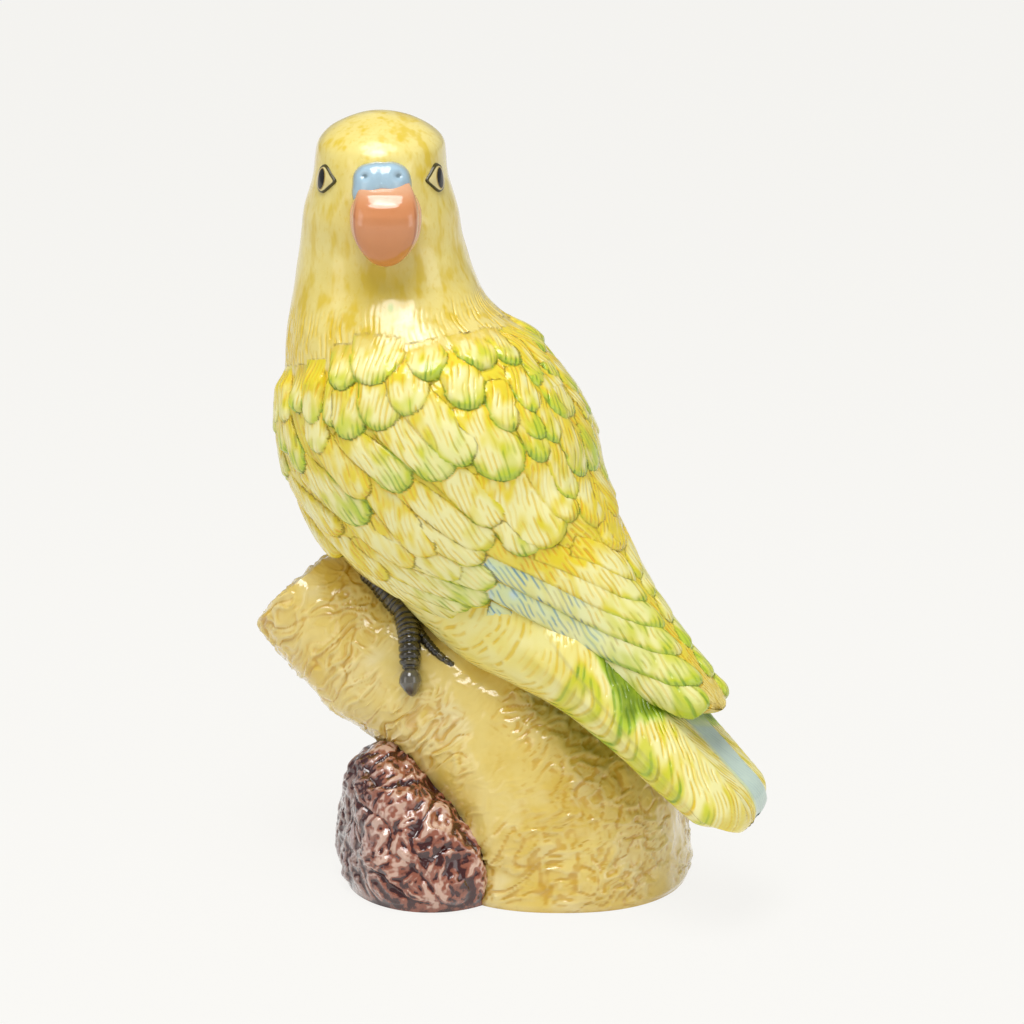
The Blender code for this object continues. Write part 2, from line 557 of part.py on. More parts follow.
def add_cavity(work, body, tail, stump, rock):
    """The hollow that the drained slip leaves: the forms again, smaller by the wall."""
    passage = ((0.0140, 0, 0), (0, 0.0130, 0), (0, 0, 0.0300))
    add_ellipsoid(work, (0.0000, -0.0020, 0.0720), passage)
    add_shape(work, grid(body, 40, 36, 0.05, 0.74, WALL))
    add_shape(work, grid(tail, 16, 28, 0.05, 0.45, WALL))
    low = grid(stump, 40, 36, 0.0, 0.93, WALL)
    low[..., 2] = np.maximum(low[..., 2], WALL)
    add_shape(work, low)


def new_mesh_object(name, work, collection):
    mesh = bpy.data.meshes.new(name)
    work.to_mesh(mesh)
    work.free()
    made = bpy.data.objects.new(name, mesh)
    collection.objects.link(made)
    return made


def face_count(one):
    """The number of triangles that the modifiers give an object."""
    bpy.context.view_layer.update()
    evaluated = one.evaluated_get(bpy.context.evaluated_depsgraph_get())
    mesh = evaluated.to_mesh()
    mesh.calc_loop_triangles()
    count = len(mesh.loop_triangles)
    evaluated.to_mesh_clear()
    return count


def join_forms(one, step, triangles):
    """Fuses overlapping forms into one skin, then keeps only the faces that it needs."""
    remesh = one.modifiers.new("one_skin", "REMESH")
    remesh.mode = "VOXEL"
    remesh.voxel_size = step
    share = triangles / face_count(one)
    decimate = one.modifiers.new("fewer_faces", "DECIMATE")
    decimate.ratio = min(share, 1)


def cut(one, cutter, name):
    boolean = one.modifiers.new(name, "BOOLEAN")
    boolean.operation = "DIFFERENCE"
    boolean.solver = "EXACT"
    boolean.object = cutter
    cutter.hide_render = True
    cutter.display_type = "WIRE"
    cutter.parent = one


def add_cutters(one, collection, forms):
    """The flat base, the hollow, and the vent that the slip drained through."""
    work = bmesh.new()
    bmesh.ops.create_cube(work, size=1)
    slab = 4 * BELOW_BASE
    for corner in work.verts:
        corner.co.x *= 0.4
        corner.co.y *= 0.4
        corner.co.z = corner.co.z * slab - 0.5 * slab
    cut(one, new_mesh_object("below_base", work, collection), "flat_base")

    work = bmesh.new()
    add_cavity(work, *forms)
    cavity = new_mesh_object("cavity", work, collection)
    join_forms(cavity, CAVITY_STEP, CAVITY_TRIANGLES)
    cut(one, cavity, "hollow")

    work = bmesh.new()
    bmesh.ops.create_cone(
        work, cap_ends=True, segments=40, radius1=VENT_DIAMETER / 2, radius2=VENT_DIAMETER / 2, depth=6 * WALL
    )
    for corner in work.verts:
        corner.co.x += STUMP_SECTIONS[1][0]
        corner.co.y += STUMP_SECTIONS[1][1]
    cut(one, new_mesh_object("vent", work, collection), "vent_hole")


def glaze():
    """A clear glaze over hand painted cream and yellow."""
    material = bpy.data.materials.new("yellow_glaze")
    material.use_nodes = True
    shader = material.node_tree.nodes["Principled BSDF"]
    shader.inputs["Base Color"].default_value = (0.85, 0.74, 0.30, 1)
    shader.inputs["Roughness"].default_value = 0.15
    shader.inputs["Metallic"].default_value = 0.0
    return material


def centre_on_base(one):
    """Moves the figure so that the middle of its outline stands over the origin."""
    bpy.context.view_layer.update()
    evaluated = one.evaluated_get(bpy.context.evaluated_depsgraph_get())
    mesh = evaluated.to_mesh()
    points = np.empty(len(mesh.vertices) * 3)
    mesh.vertices.foreach_get("co", points)
    evaluated.to_mesh_clear()
    points = points.reshape(-1, 3)
    low = points.min(axis=0)
    high = points.max(axis=0)
    one.location = (-0.5 * (low[0] + high[0]), -0.5 * (low[1] + high[1]), 0)


def main():
    for old in list(bpy.data.objects):
        bpy.data.objects.remove(old, do_unlink=True)
    figure = bpy.data.collections.new("parakeet_figurine")
    cutters = bpy.data.collections.new("cutters")
    for collection in (figure, cutters):
        bpy.context.scene.collection.children.link(collection)

    body = form(BODY_SECTIONS, 2.1, first_cap=0.045, last_cap=0.03)
    tail = form(TAIL_SECTIONS, 2.7, first_cap=0.05, last_cap=0.07)
    stump = form(STUMP_SECTIONS, 2.3, last_cap=0.018)
    rock = form(ROCK_SECTIONS, 2.2, last_cap=0.35)

    work = bmesh.new()
    add_cere(work)
    add_eyes(work, body)
    add_beak(work)
    add_body(work, body)
    add_tail(work, tail)
    add_stump(work, stump)
    add_rock(work, rock)
    for side in (-1, 1):
        add_foot(work, stump, side)
    parrot = new_mesh_object("parrot_figurine", work, figure)
    parrot.data.materials.append(glaze())
    join_forms(parrot, SURFACE_STEP, OUTER_TRIANGLES)
    add_cutters(parrot, cutters, (body, tail, stump, rock))
    centre_on_base(parrot)


if __name__ == "__main__":
    main()
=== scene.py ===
# %% [markdown]
# # A glazed parakeet on a tree stump
# The real object is one hollow ceramic casting: a parakeet with folded wings that looks
# back over its shoulder, a sloping stump under it, and a brown rock. The solid model of it
# is loaded first. Everything made below is a finer skin for that solid, in its own frame.

# %% Load the solid
import math

import bpy
import numpy as np
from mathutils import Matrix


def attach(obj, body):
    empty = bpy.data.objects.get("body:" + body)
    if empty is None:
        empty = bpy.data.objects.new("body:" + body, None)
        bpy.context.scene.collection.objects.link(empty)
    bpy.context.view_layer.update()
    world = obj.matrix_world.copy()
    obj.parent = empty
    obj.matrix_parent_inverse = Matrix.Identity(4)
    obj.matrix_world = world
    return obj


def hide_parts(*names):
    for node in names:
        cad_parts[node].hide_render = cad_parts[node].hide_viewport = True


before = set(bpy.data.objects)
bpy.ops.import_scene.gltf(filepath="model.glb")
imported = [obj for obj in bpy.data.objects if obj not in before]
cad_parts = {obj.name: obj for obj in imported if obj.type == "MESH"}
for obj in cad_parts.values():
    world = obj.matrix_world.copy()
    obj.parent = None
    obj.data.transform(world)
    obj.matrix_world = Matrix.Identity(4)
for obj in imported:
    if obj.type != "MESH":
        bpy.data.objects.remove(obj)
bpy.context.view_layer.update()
NODE = "parrot_figurine"
MM = 0.001

# %% [markdown]
# ## The main forms
# A figurine like this could be sculpted, but sculpting can't be repeated with numbers.
# Each main form is therefore a loft: a row of rounded sections on a smooth curve. A
# section has its centre x, y, z, its half width along the bird, the rise of that half
# width, its half depth from side to side, all in millimetres, and its turn in degrees.

# %% Section tables
CENTRING = np.array([1.84, 7.80, 0.0])
BIRD_TURN = 28.0
BODY = {
    "sections": [
        (-40.6, 11.8, 237.4, 16.6, 0.0, 14.1, 0), (-40.7, 11.4, 229.0, 19.3, 0.0, 20.7, 0),
        (-41.0, 11.0, 218.5, 20.5, 0.0, 24.1, 0), (-40.9, 10.4, 207.5, 23.5, 0.0, 23.1, 0),
        (-40.6, 10.6, 197.0, 25.1, 0.4, 22.0, 3), (-39.9, 11.0, 185.5, 28.0, 1.5, 24.5, 8),
        (-38.6, 9.5, 174.3, 31.2, 4.7, 30.0, 16), (-33.0, 6.2, 161.1, 38.1, 8.4, 34.0, 24),
        (-27.4, 3.6, 145.4, 44.2, 10.8, 36.0, 28), (-21.7, 1.6, 131.0, 45.8, 12.5, 36.0, 28),
        (-16.2, -1.4, 117.3, 43.0, 14.3, 33.0, 28), (-8.3, -5.6, 107.0, 39.0, 15.2, 29.0, 28),
        (2.0, -11.0, 99.5, 31.2, 14.5, 24.5, 28), (12.6, -16.7, 93.0, 23.6, 13.0, 20.5, 28),
        (21.8, -21.6, 86.6, 17.8, 12.0, 17.0, 28), (31.1, -26.5, 81.0, 12.8, 10.6, 14.5, 28),
        (40.5, -31.5, 75.6, 8.6, 8.5, 12.0, 28), (48.9, -36.7, 71.0, 5.2, 6.2, 10.0, 28),
        (56.7, -40.8, 67.4, 2.8, 3.8, 8.5, 28), (62.2, -43.8, 65.2, 1.2, 1.8, 7.0, 28),
    ],
    "power": 2.1, "first_cap": 0.045, "last_cap": 0.03,
}
TAIL = {
    "sections": [
        (-20.0, 0.0, 108.0, 20.0, 12.0, 24.0, 28), (-7.8, -5.8, 97.0, 20.3, 14.2, 24.0, 28),
        (4.5, -12.4, 84.5, 17.0, 12.7, 23.6, 28), (17.0, -19.4, 75.9, 13.0, 9.6, 22.6, 28),
        (28.6, -25.2, 68.0, 9.0, 7.6, 22.0, 28), (41.1, -31.8, 57.6, 6.3, 6.0, 22.0, 28),
        (53.2, -38.3, 46.8, 5.2, 4.8, 22.0, 28), (62.6, -43.5, 38.5, 4.4, 4.1, 21.2, 28),
        (69.9, -47.4, 32.3, 3.8, 3.4, 19.0, 28),
    ],
    "power": 2.7, "first_cap": 0.05, "last_cap": 0.07,
}
STUMP = {
    "sections": [
        (14.0, 1.5, -4.0, 41.0, 0.0, 45.5, 0), (14.0, 1.5, 2.0, 41.0, 0.0, 45.5, 0),
        (14.5, 2.0, 12.0, 39.8, 0.0, 44.5, 0), (11.5, 2.0, 30.0, 38.0, 4.0, 42.0, 0),
        (1.0, 3.0, 45.0, 34.0, 11.0, 37.0, 5), (-13.0, 5.0, 56.0, 26.0, 17.0, 31.0, 10),
        (-29.0, 8.0, 62.0, 19.0, 18.0, 27.0, 15), (-43.0, 11.0, 67.8, 15.0, 17.2, 25.0, 18),
        (-54.0, 14.0, 75.3, 12.2, 16.8, 22.0, 20), (-63.5, 16.0, 83.0, 11.4, 13.7, 20.0, 22),
        (-69.0, 17.0, 87.2, 10.4, 11.8, 18.5, 22),
    ],
    "power": 2.3, "first_cap": 0.0, "last_cap": 0.018,
}
ROCK = {
    "sections": [
        (-26.0, -9.0, -4.0, 27.0, 0, 34.0, 0), (-26.0, -9.0, 0.0, 27.0, 0, 34.0, 0),
        (-27.0, -10.0, 8.0, 28.3, 0, 34.0, 0), (-29.0, -11.0, 18.0, 26.0, 0, 31.0, 0),
        (-33.0, -11.0, 28.0, 20.0, 0, 25.5, 0), (-37.5, -11.0, 37.0, 14.0, 0, 19.0, 0),
        (-40.0, -10.0, 44.0, 9.5, 0, 13.0, 0),
    ],
    "power": 2.0, "first_cap": 0.0, "last_cap": 0.25,
}
print(len(BODY["sections"]), "sections in the body")

# %% [markdown]
# ## Lofting
# The curve through the sections has to be smooth, so each stretch is a Hermite curve whose
# slopes come from the neighbouring sections. An end cap shrinks the last sections on a
# quarter circle, which closes the form in a round nose.

# %% Points of a loft
def run_along(points):
    """How far along a row of points each one lies, in millimetres."""
    return np.concatenate([[0], np.cumsum(np.linalg.norm(np.diff(points, axis=0), axis=1))])


def through_sections(knots, shares):
    """The sections at shares of the curve's length, on a smooth curve through the knots."""
    knots = np.array(knots, float)
    places = run_along(knots[:, :3])
    places /= places[-1]
    last = len(knots) - 1
    before = np.maximum(np.arange(last + 1) - 1, 0)
    after = np.minimum(np.arange(last + 1) + 1, last)
    slopes = (knots[after] - knots[before]) / (places[after] - places[before])[:, None]
    i = np.clip(np.searchsorted(places, shares, side="right") - 1, 0, last - 1)
    gap = (places[i + 1] - places[i])[:, None]
    s = (shares[:, None] - places[i][:, None]) / gap
    return (
        (2 * s**3 - 3 * s**2 + 1) * knots[i]
        + (s**3 - 2 * s**2 + s) * gap * slopes[i]
        + (3 * s**2 - 2 * s**3) * knots[i + 1]
        + (s**3 - s**2) * gap * slopes[i + 1]
    )


def loft(form, shares, angles):
    """Points in millimetres. Angle 0 is the bird's back, -90 its left, 180 its breast."""
    flat = np.ravel(shares).astype(float)
    rows = through_sections(form["sections"], flat)
    cap = np.ones(len(flat))
    for length, from_end in ((form["first_cap"], flat), (form["last_cap"], 1 - flat)):
        if length:
            near = from_end < length
            cap[near] *= np.sqrt(np.clip(1 - (1 - from_end[near] / length) ** 2, 0, 1))
    turn = np.radians(rows[:, 6])
    along = np.stack([rows[:, 3] * np.cos(turn), -rows[:, 3] * np.sin(turn), rows[:, 4]], 1)
    across = np.stack([np.sin(turn), np.cos(turn), 0 * turn], 1) * rows[:, 5:6]
    angle = np.radians(np.ravel(angles))
    cosine = np.sign(np.cos(angle)) * np.abs(np.cos(angle)) ** (2 / form["power"])
    sine = np.sign(np.sin(angle)) * np.abs(np.sin(angle)) ** (2 / form["power"])
    points = rows[:, :3] + (along * cosine[:, None] + across * sine[:, None]) * cap[:, None]
    return points.reshape(np.shape(shares) + (3,))


print("crown at", np.round(loft(BODY, np.array([0.0]), np.array([0.0]))[0], 1))

# %% [markdown]
# Relief is raised along the normal, which is the direction that faces straight out of the
# clay. On a grid of points it is the cross product of two neighbouring steps.

# %% Normals of a loft
def unit(vectors):
    """The same directions, each with a length of 1."""
    return vectors / (np.linalg.norm(vectors, axis=-1, keepdims=True) + 1e-12)


def steps_around(points):
    return np.roll(points, -1, axis=1) - np.roll(points, 1, axis=1)


def facing_out(points):
    """The outward normal at each point of a tube of rings."""
    normals = unit(np.cross(steps_around(points), np.gradient(points, axis=0)))
    middle = points.mean(axis=1, keepdims=True)
    side = np.sign(np.sum((points - middle) * normals, axis=(1, 2)))
    return normals * side[:, None, None]


def facing_away(points, out):
    """The normal at each point of a disc of rings, on the side that looks along out."""
    normals = unit(np.cross(np.gradient(points, axis=0), steps_around(points)))
    return normals * np.sign(np.sum(normals * out, axis=2, keepdims=True))


def place_on(form, share, angle):
    """One point of a loft and its outward normal."""
    step = 0.002
    shares = np.array([share, min(share + step, 1), max(share - step, 0), share, share])
    points = loft(form, shares, np.array([angle, angle, angle, angle + 1, angle - 1]))
    normal = unit(np.cross(points[1] - points[2], points[3] - points[4]))
    middle = loft(form, np.array([share, share]), np.array([angle, angle + 180])).mean(axis=0)
    return points[0], normal * math.copysign(1, np.dot(points[0] - middle, normal))


print("the crown faces", np.round(place_on(BODY, 0.01, 0.0)[1], 2))

# %% [markdown]
# Two shapes of soft edge are used all through the script: a step that rises smoothly from
# one value to another, and a round patch that fades outwards.

# %% Soft edges
def smooth_step(values, low, high):
    """0 below low, 1 above high, and a soft rise between them."""
    s = np.clip((values - low) / (high - low), 0, 1)
    return s * s * (3 - 2 * s)


def patch(points, middle, radii):
    """A soft round patch: 1 at its middle, and fading out at its three radii."""
    return np.exp(-(((points - middle) / radii) ** 2).sum(axis=-1))


print("halfway up a soft step", float(smooth_step(0.5, 0, 1)))

# %% [markdown]
# ## Noise for hand-made unevenness
# Hand-modelled clay has no two lumps alike. Gradient noise gives soft lumps: every corner
# of a lattice holds a fixed direction, and a point blends the eight corners around it.
# The directions come from a seeded generator, so each run makes the same figure.

# %% Gradient noise
DRAW = np.random.default_rng(11)
DIRECTIONS = unit(DRAW.normal(size=(256, 3)))
ORDER = np.tile(DRAW.permutation(256), 3)


def lumps(points, size, octaves=1, seed=0):
    """Soft noise from about -1 to 1, where size is a lump's width in millimetres."""
    q = points / size + 17.3 * seed
    total = np.zeros(len(q))
    weight = 1.0
    for _ in range(octaves):
        cell = np.floor(q).astype(int)
        offset = q - cell
        fade = offset**3 * (offset * (offset * 6 - 15) + 10)
        for corner in range(8):
            step = np.array([corner & 1, (corner >> 1) & 1, corner >> 2])
            at = (cell + step) & 255
            pick = ORDER[ORDER[ORDER[at[:, 0]] + at[:, 1]] + at[:, 2]]
            share = np.prod(np.where(step, fade, 1 - fade), axis=1)
            total += weight * share * np.sum(DIRECTIONS[pick] * (offset - step), axis=1)
        weight *= 0.5
        q = q * 2.03 + 5.1
    return 1.6 * total


def scatter(*values):
    """A number from 0 to 1 for each set of whole numbers, that looks random."""
    mixed = sum(value * factor for value, factor in zip(values, (12.9898, 78.233, 37.719)))
    return np.abs(np.sin(mixed) * 43758.5453) % 1


print("noise spread", np.round(np.std(lumps(DRAW.normal(size=(2000, 3)) * 50, 10.0)), 2))

# %% [markdown]
# ## From a grid of points to a piece
# Every form is a grid of rings and spokes, so one helper builds them all: four-sided faces
# between the rings, and a fan to a point inside that closes each open rim. It also lays
# the grid out flat as a UV map, stores the painter's masks on the points, and hands over
# the normals worked out on the whole form, so that no shading line shows between pieces.

# %% Faces and flat map of a grid
def closed_faces(corners, rings, spokes):
    """Faces between the rings, and a fan to a middle point at each end, with all points."""
    index = np.arange(rings * spokes).reshape(rings, spokes)
    beside = np.roll(index, -1, axis=1)
    quads = np.stack([index[:-1], beside[:-1], beside[1:], index[1:]], axis=-1).reshape(-1, 4)
    rims = [index[0, ::-1], index[-1]]
    tips = [corners[rim].mean(axis=0) for rim in rims]
    fans = [
        np.stack([np.full(spokes, len(corners) + end), rim, np.roll(rim, -1)], axis=1)
        for end, rim in enumerate(rims)
    ]
    return np.concatenate([corners, tips]), quads, np.concatenate(fans)


def flat_map(quads, fans, rings, spokes):
    """The grid laid out flat, with both fans in a thin strip under it."""
    row, column = np.divmod(np.arange(len(quads)), spokes)
    u = np.stack([column, column + 1, column + 1, column], axis=1) / spokes
    v = np.stack([row, row, row + 1, row + 1], axis=1) / (rings - 1)
    grid = np.stack([0.01 + 0.98 * u, 0.03 + 0.96 * v], axis=-1).reshape(-1, 2)
    start = np.arange(len(fans))[:, None] / len(fans)
    strip = np.stack([start + [0.5 / len(fans), 0, 1 / len(fans)], 0 * start + [0.0, 0.01, 0.01]], -1)
    return np.concatenate([grid, strip.reshape(-1, 2)])


def signed_volume(corners, quads, fans):
    """Six times the volume inside, and below 0 where the faces look inwards."""
    a, b, c, d = (corners[quads[:, i]] for i in range(4))
    tip, first, second = (corners[fans[:, i]] for i in range(3))
    between = np.sum(a * np.cross(b, c)) + np.sum(a * np.cross(c, d))
    return between + np.sum(tip * np.cross(first, second))


# %% Mesh builder
SOLIDS = []


def keep_masks(mesh, masks, on_grid):
    """Stores the painter's masks on the points of a mesh."""
    for label, values in masks.items():
        count = values.shape[-1]
        kind, field = ("FLOAT_COLOR", "color") if count == 4 else ("FLOAT_VECTOR", "vector")
        full = np.zeros((len(mesh.vertices), count))
        full[:on_grid] = values.reshape(-1, count)
        mesh.attributes.new(label, kind, "POINT").data.foreach_set(field, full.ravel())


def add_piece(name, points, normals, masks):
    """A closed mesh from a grid of points in millimetres."""
    rings, spokes = points.shape[:2]
    on_grid = rings * spokes
    corners, quads, fans = closed_faces(points.reshape(-1, 3), rings, spokes)
    loops = np.concatenate([quads.ravel(), fans.ravel()])
    starts = np.concatenate([4 * np.arange(len(quads)), 4 * len(quads) + 3 * np.arange(len(fans))])
    mesh = bpy.data.meshes.new(name)
    mesh.vertices.add(len(corners))
    mesh.vertices.foreach_set("co", ((corners + CENTRING) * MM).ravel())
    mesh.loops.add(len(loops))
    mesh.loops.foreach_set("vertex_index", loops)
    mesh.polygons.add(len(starts))
    mesh.polygons.foreach_set("loop_start", starts)
    mesh.polygons.foreach_set("use_smooth", np.ones(len(starts), bool))
    mesh.update(calc_edges=True)
    flat = flat_map(quads, fans, rings, spokes)
    mesh.uv_layers.new(name="OFBake").data.foreach_set("uv", flat.ravel())
    keep_masks(mesh, masks, on_grid)
    if signed_volume(corners, quads, fans) < 0:
        mesh.flip_normals()
    if normals is not None:
        full = np.zeros((len(corners), 3))
        full[:on_grid] = normals.reshape(-1, 3)
        full[on_grid:, 2] = 1
        mesh.normals_split_custom_set_from_vertices(full)
    piece = bpy.data.objects.new(name, mesh)
    bpy.context.scene.collection.objects.link(piece)
    SOLIDS.append(piece)
    print(name, 2 * len(quads) + len(fans), "triangles")
    return piece


# %% [markdown]
# ## Where the feathers lie
# Each covert feather is a rounded plate pressed from the clay. It is given by its tip and
# its root, both as an angle round the body and a share of the way along it, then its half
# width in millimetres. They are grouped by how the painter coloured them: how green and
# how yellow, and how far the cut barbs slant from the feather's own line. A flight feather
# is a row of such places from root to tip, then how green and how blue it is. The collar
# of small feathers under the neck grows out of bare skin, so it rises more slowly.

# %% Feather tables
COVERTS = {
    "bend": [
        (152, 0.406, 155, 0.356, 2.9), (131, 0.386, 138, 0.341, 2.9), (121, 0.372, 126, 0.321, 3.3),
        (111, 0.390, 113, 0.336, 3.7), (102, 0.394, 100, 0.343, 3.2), (95, 0.350, 96, 0.298, 4.4),
        (82, 0.352, 80, 0.293, 6.9), (94, 0.415, 94, 0.351, 5.3), (82, 0.410, 79, 0.348, 6.7),
        (68, 0.397, 69, 0.341, 5.6), (144, 0.459, 152, 0.401, 3.0), (123, 0.450, 131, 0.386, 3.6),
        (109, 0.428, 111, 0.376, 4.4), (141, 0.392, 147, 0.345, 2.8), (164, 0.425, 167, 0.372, 3.0),
        (134, 0.425, 141, 0.372, 3.0), (157, 0.470, 163, 0.412, 3.0),
    ],
    "lime": [
        (80, 0.486, 95, 0.409, 4.9), (63, 0.482, 78, 0.401, 5.6), (53, 0.470, 65, 0.383, 5.6),
        (33, 0.445, 32, 0.388, 4.4), (44, 0.405, 45, 0.351, 5.3), (19, 0.432, 18, 0.378, 4.0),
        (40, 0.508, 49, 0.416, 6.3), (26, 0.500, 27, 0.436, 3.6), (31, 0.358, 32, 0.308, 5.4),
        (15, 0.364, 14, 0.313, 4.0), (8, 0.401, 5, 0.346, 3.4), (16, 0.480, 15, 0.419, 3.4),
        (57, 0.356, 58, 0.306, 5.2), (2, 0.452, 3, 0.388, 4.2), (16, 0.574, 20, 0.484, 4.2),
        (51, 0.634, 51, 0.551, 5.3),
    ],
    "green": [
        (5, 0.545, 9, 0.454, 4.8), (100, 0.518, 123, 0.441, 5.4), (22, 0.468, 27, 0.414, 3.6),
    ],
    "cream": [
        (53, 0.568, 65, 0.479, 5.0), (37, 0.631, 46, 0.511, 6.6), (23, 0.604, 30, 0.501, 4.2),
        (63, 0.596, 80, 0.496, 4.7), (71, 0.614, 90, 0.514, 4.4), (84, 0.629, 99, 0.531, 4.4),
        (117, 0.687, 124, 0.556, 3.9),
    ],
    "mint": [(78, 0.656, 100, 0.554, 4.4), (90, 0.679, 111, 0.564, 4.2), (103, 0.680, 118, 0.560, 3.6)],
    "yellow": [
        (95, 0.488, 107, 0.416, 5.1), (117, 0.528, 145, 0.456, 4.0), (85, 0.586, 93, 0.471, 5.3),
        (94, 0.591, 110, 0.499, 4.5), (8, 0.638, 9, 0.530, 4.8), (2, 0.698, 3, 0.584, 4.6),
        (135, 0.560, 152, 0.492, 3.8), (112, 0.600, 130, 0.510, 4.2),
    ],
}
PAINT_OF = {
    "bend": (0.90, 0.35, 10), "lime": (0.75, 0.05, 22), "green": (0.95, 0.25, 26),
    "cream": (0.38, 0.00, 26), "mint": (0.70, 0.05, 28), "yellow": (0.25, 0.45, 28),
}
FLIGHTS = [
    ([(26, 0.672), (11, 0.720), (3, 0.764)], 0.35, 0.0),
    ([(44, 0.659), (31, 0.719), (4, 0.803)], 0.45, 0.0),
    ([(58, 0.639), (42, 0.749), (6, 0.856)], 0.50, 0.1),
    ([(70, 0.652), (57, 0.764), (38, 0.842), (10, 0.905)], 0.55, 0.8),
    ([(84, 0.672), (77, 0.788), (48, 0.905), (16, 0.957)], 0.60, 1.0),
    ([(99, 0.690), (101, 0.805), (90, 0.920), (52, 0.986)], 0.60, 0.8),
]
FLIGHT_HALF_WIDTH = 5.1
WING_EDGE = [
    (0.330, 140), (0.365, 154), (0.470, 158), (0.510, 150), (0.560, 132), (0.620, 121), (0.700, 116),
]
WING_THICKNESS = 1.4
BEND_THICKNESS = 2.0
COVERT_LIFT = 1.5
COVERT_OVERLAP = 1.65
COVERT_FULLNESS = 1.30
FLIGHT_LIFT = 0.6
FLIGHT_THICKNESS = 1.55
FLIGHT_OVERLAP = 0.60
FEATHER_TILT = 0.6
FEATHER_EDGE = 2.0
FEATHER_CROWN = 0.6
MANTLE_FLATNESS = 0.40
FLIGHT_SLANT = 33
BARB_PITCH = 1.5
BARB_DEPTH = 0.28
BARB_STROKE = 7
COLLAR_SHARE = 0.38
KINDS = {
    "collar": {"rise": (0.25, 0.85), "root_yellow": 0.1, "warmth": 0.45},
    "covert": {"rise": (0.00, 0.38), "root_yellow": 0.6, "warmth": 0.45},
    "flight": {"rise": (0.00, 0.05), "root_yellow": 0.6, "warmth": 0.05},
}
print(sum(len(rows) for rows in COVERTS.values()) + len(FLIGHTS), "feathers in a wing")

# %% [markdown]
# ## Laying one feather
# A feather needs its own ruler: how far back from the tip a point of the body lies, and
# how far to the side. With those two numbers come its outline, its crowned top, the slant
# that lets its lower edge stand over the next feather, and the hatch of its barbs.

# %% Feather rulers
def line_of(form, places, side, samples):
    """The middle line of a feather on a form, from its tip to its root."""
    knots = np.array([(share, side * angle, 0) for angle, share in places])
    rows = through_sections(knots, np.linspace(0, 1, samples))
    spots = [place_on(form, share, angle) for share, angle, _ in rows]
    middle = np.array([spot for spot, normal in spots])
    normals = np.array([normal for spot, normal in spots])
    along = unit(np.gradient(middle, axis=0))
    across = unit(np.cross(normals, along))
    across *= np.sign(across[:, 2:3] + 0.2 * across[:, :1])
    return middle, normals, along, across, run_along(middle)


def over_feather(line, half_width, points, normals):
    """The points over a feather, how far back from its tip, and how far to its side."""
    middle, facing, along, across, lengths = line
    reach = 0.5 * lengths[-1] + 1.6 * half_width + 3
    near = np.flatnonzero(np.linalg.norm(points - middle.mean(axis=0), axis=1) < reach)
    gaps = points[near][:, None] - middle[None]
    nearest = np.argmin(np.einsum("ijk,ijk->ij", gaps, gaps), axis=1)
    offset = points[near] - middle[nearest]
    back = lengths[nearest] + np.einsum("ij,ij->i", offset, along[nearest])
    side = np.einsum("ij,ij->i", offset, across[nearest])
    keep = np.einsum("ij,ij->i", normals[near], facing[nearest]) > 0.1
    keep &= (back > -0.5) & (back < lengths[-1] + 0.5)
    return near[keep], back[keep], side[keep]


def inside(back, side, half_width, tip_length, length):
    """How far each point lies inside the feather's outline, in millimetres."""
    nose = np.hypot(1 - np.clip(back / tip_length, -1, 1), side / half_width)
    at_tip = (1 - nose) * min(half_width, tip_length)
    shaft = half_width * (1 - 0.15 * np.clip(back / length, 0, 1)) - np.abs(side)
    return np.where(back < tip_length, at_tip, shaft)


def hatch(back, side, slant, pitch, seed, points):
    """The barbs' running number, and how deep the tool pressed at each point."""
    fall = math.radians(slant)
    wander = 0.45 * lumps(points, 7.0, seed=3)
    number = (side * math.cos(fall) - back * math.sin(fall)) / pitch + wander + 9 * seed
    run = back * math.cos(fall) + side * math.sin(fall)
    barb = np.floor(number)
    press = np.zeros(len(back))
    for stroke in range(1 + int(run.max() / BARB_STROKE)):
        middle = BARB_STROKE * (scatter(barb, seed + 5.0 * stroke) + stroke) - 2
        half = 2.2 + 2.6 * scatter(barb, seed + 2.3, stroke + 1.0)
        press = np.maximum(press, smooth_step(half - np.abs(run - middle), 0, 1.6))
    press *= 0.3 + 0.7 * scatter(barb, seed + 7.7)
    return number, press


def cut(number, width=0.4):
    """The profile of a pressed line, 1 along its bottom, for each running number."""
    return smooth_step(width - np.abs(number % 1 - 0.5), 0, width)


print("one pressed line", np.round(cut(np.linspace(0, 1, 5)), 2))

# %% [markdown]
# ## Laying the plumage on the body
# All feathers go on one fine grid of the body. Where several lie over a point, the highest
# one wins, and it also decides the paint there. The painter's masks are kept in four
# channels: glaze pooled in creases, green, blue and yellow. On the rump and tail the pool
# and green channels also hold a painted shadow under the wing's tip.

# %% The wing under its feathers
def wing_reach(shares):
    """How far round the body the wing's lower edge lies, in degrees from the back."""
    places, reaches = zip(*WING_EDGE)
    return np.interp(shares, places, reaches)


def wing_thickness(shares):
    return np.interp(shares, [0.45, 0.60], [BEND_THICKNESS, WING_THICKNESS])


def wing_mass(shares, angles):
    """The body of the folded wing, under its feathers."""
    side = smooth_step(wing_reach(shares) - np.abs(angles), 0, 7)
    top = np.clip((shares - WING_EDGE[0][0]) / 0.035, 0, 1)
    end = np.clip((1.0 - shares) / 0.10, 0, 1)
    return wing_thickness(shares) * side * top * end


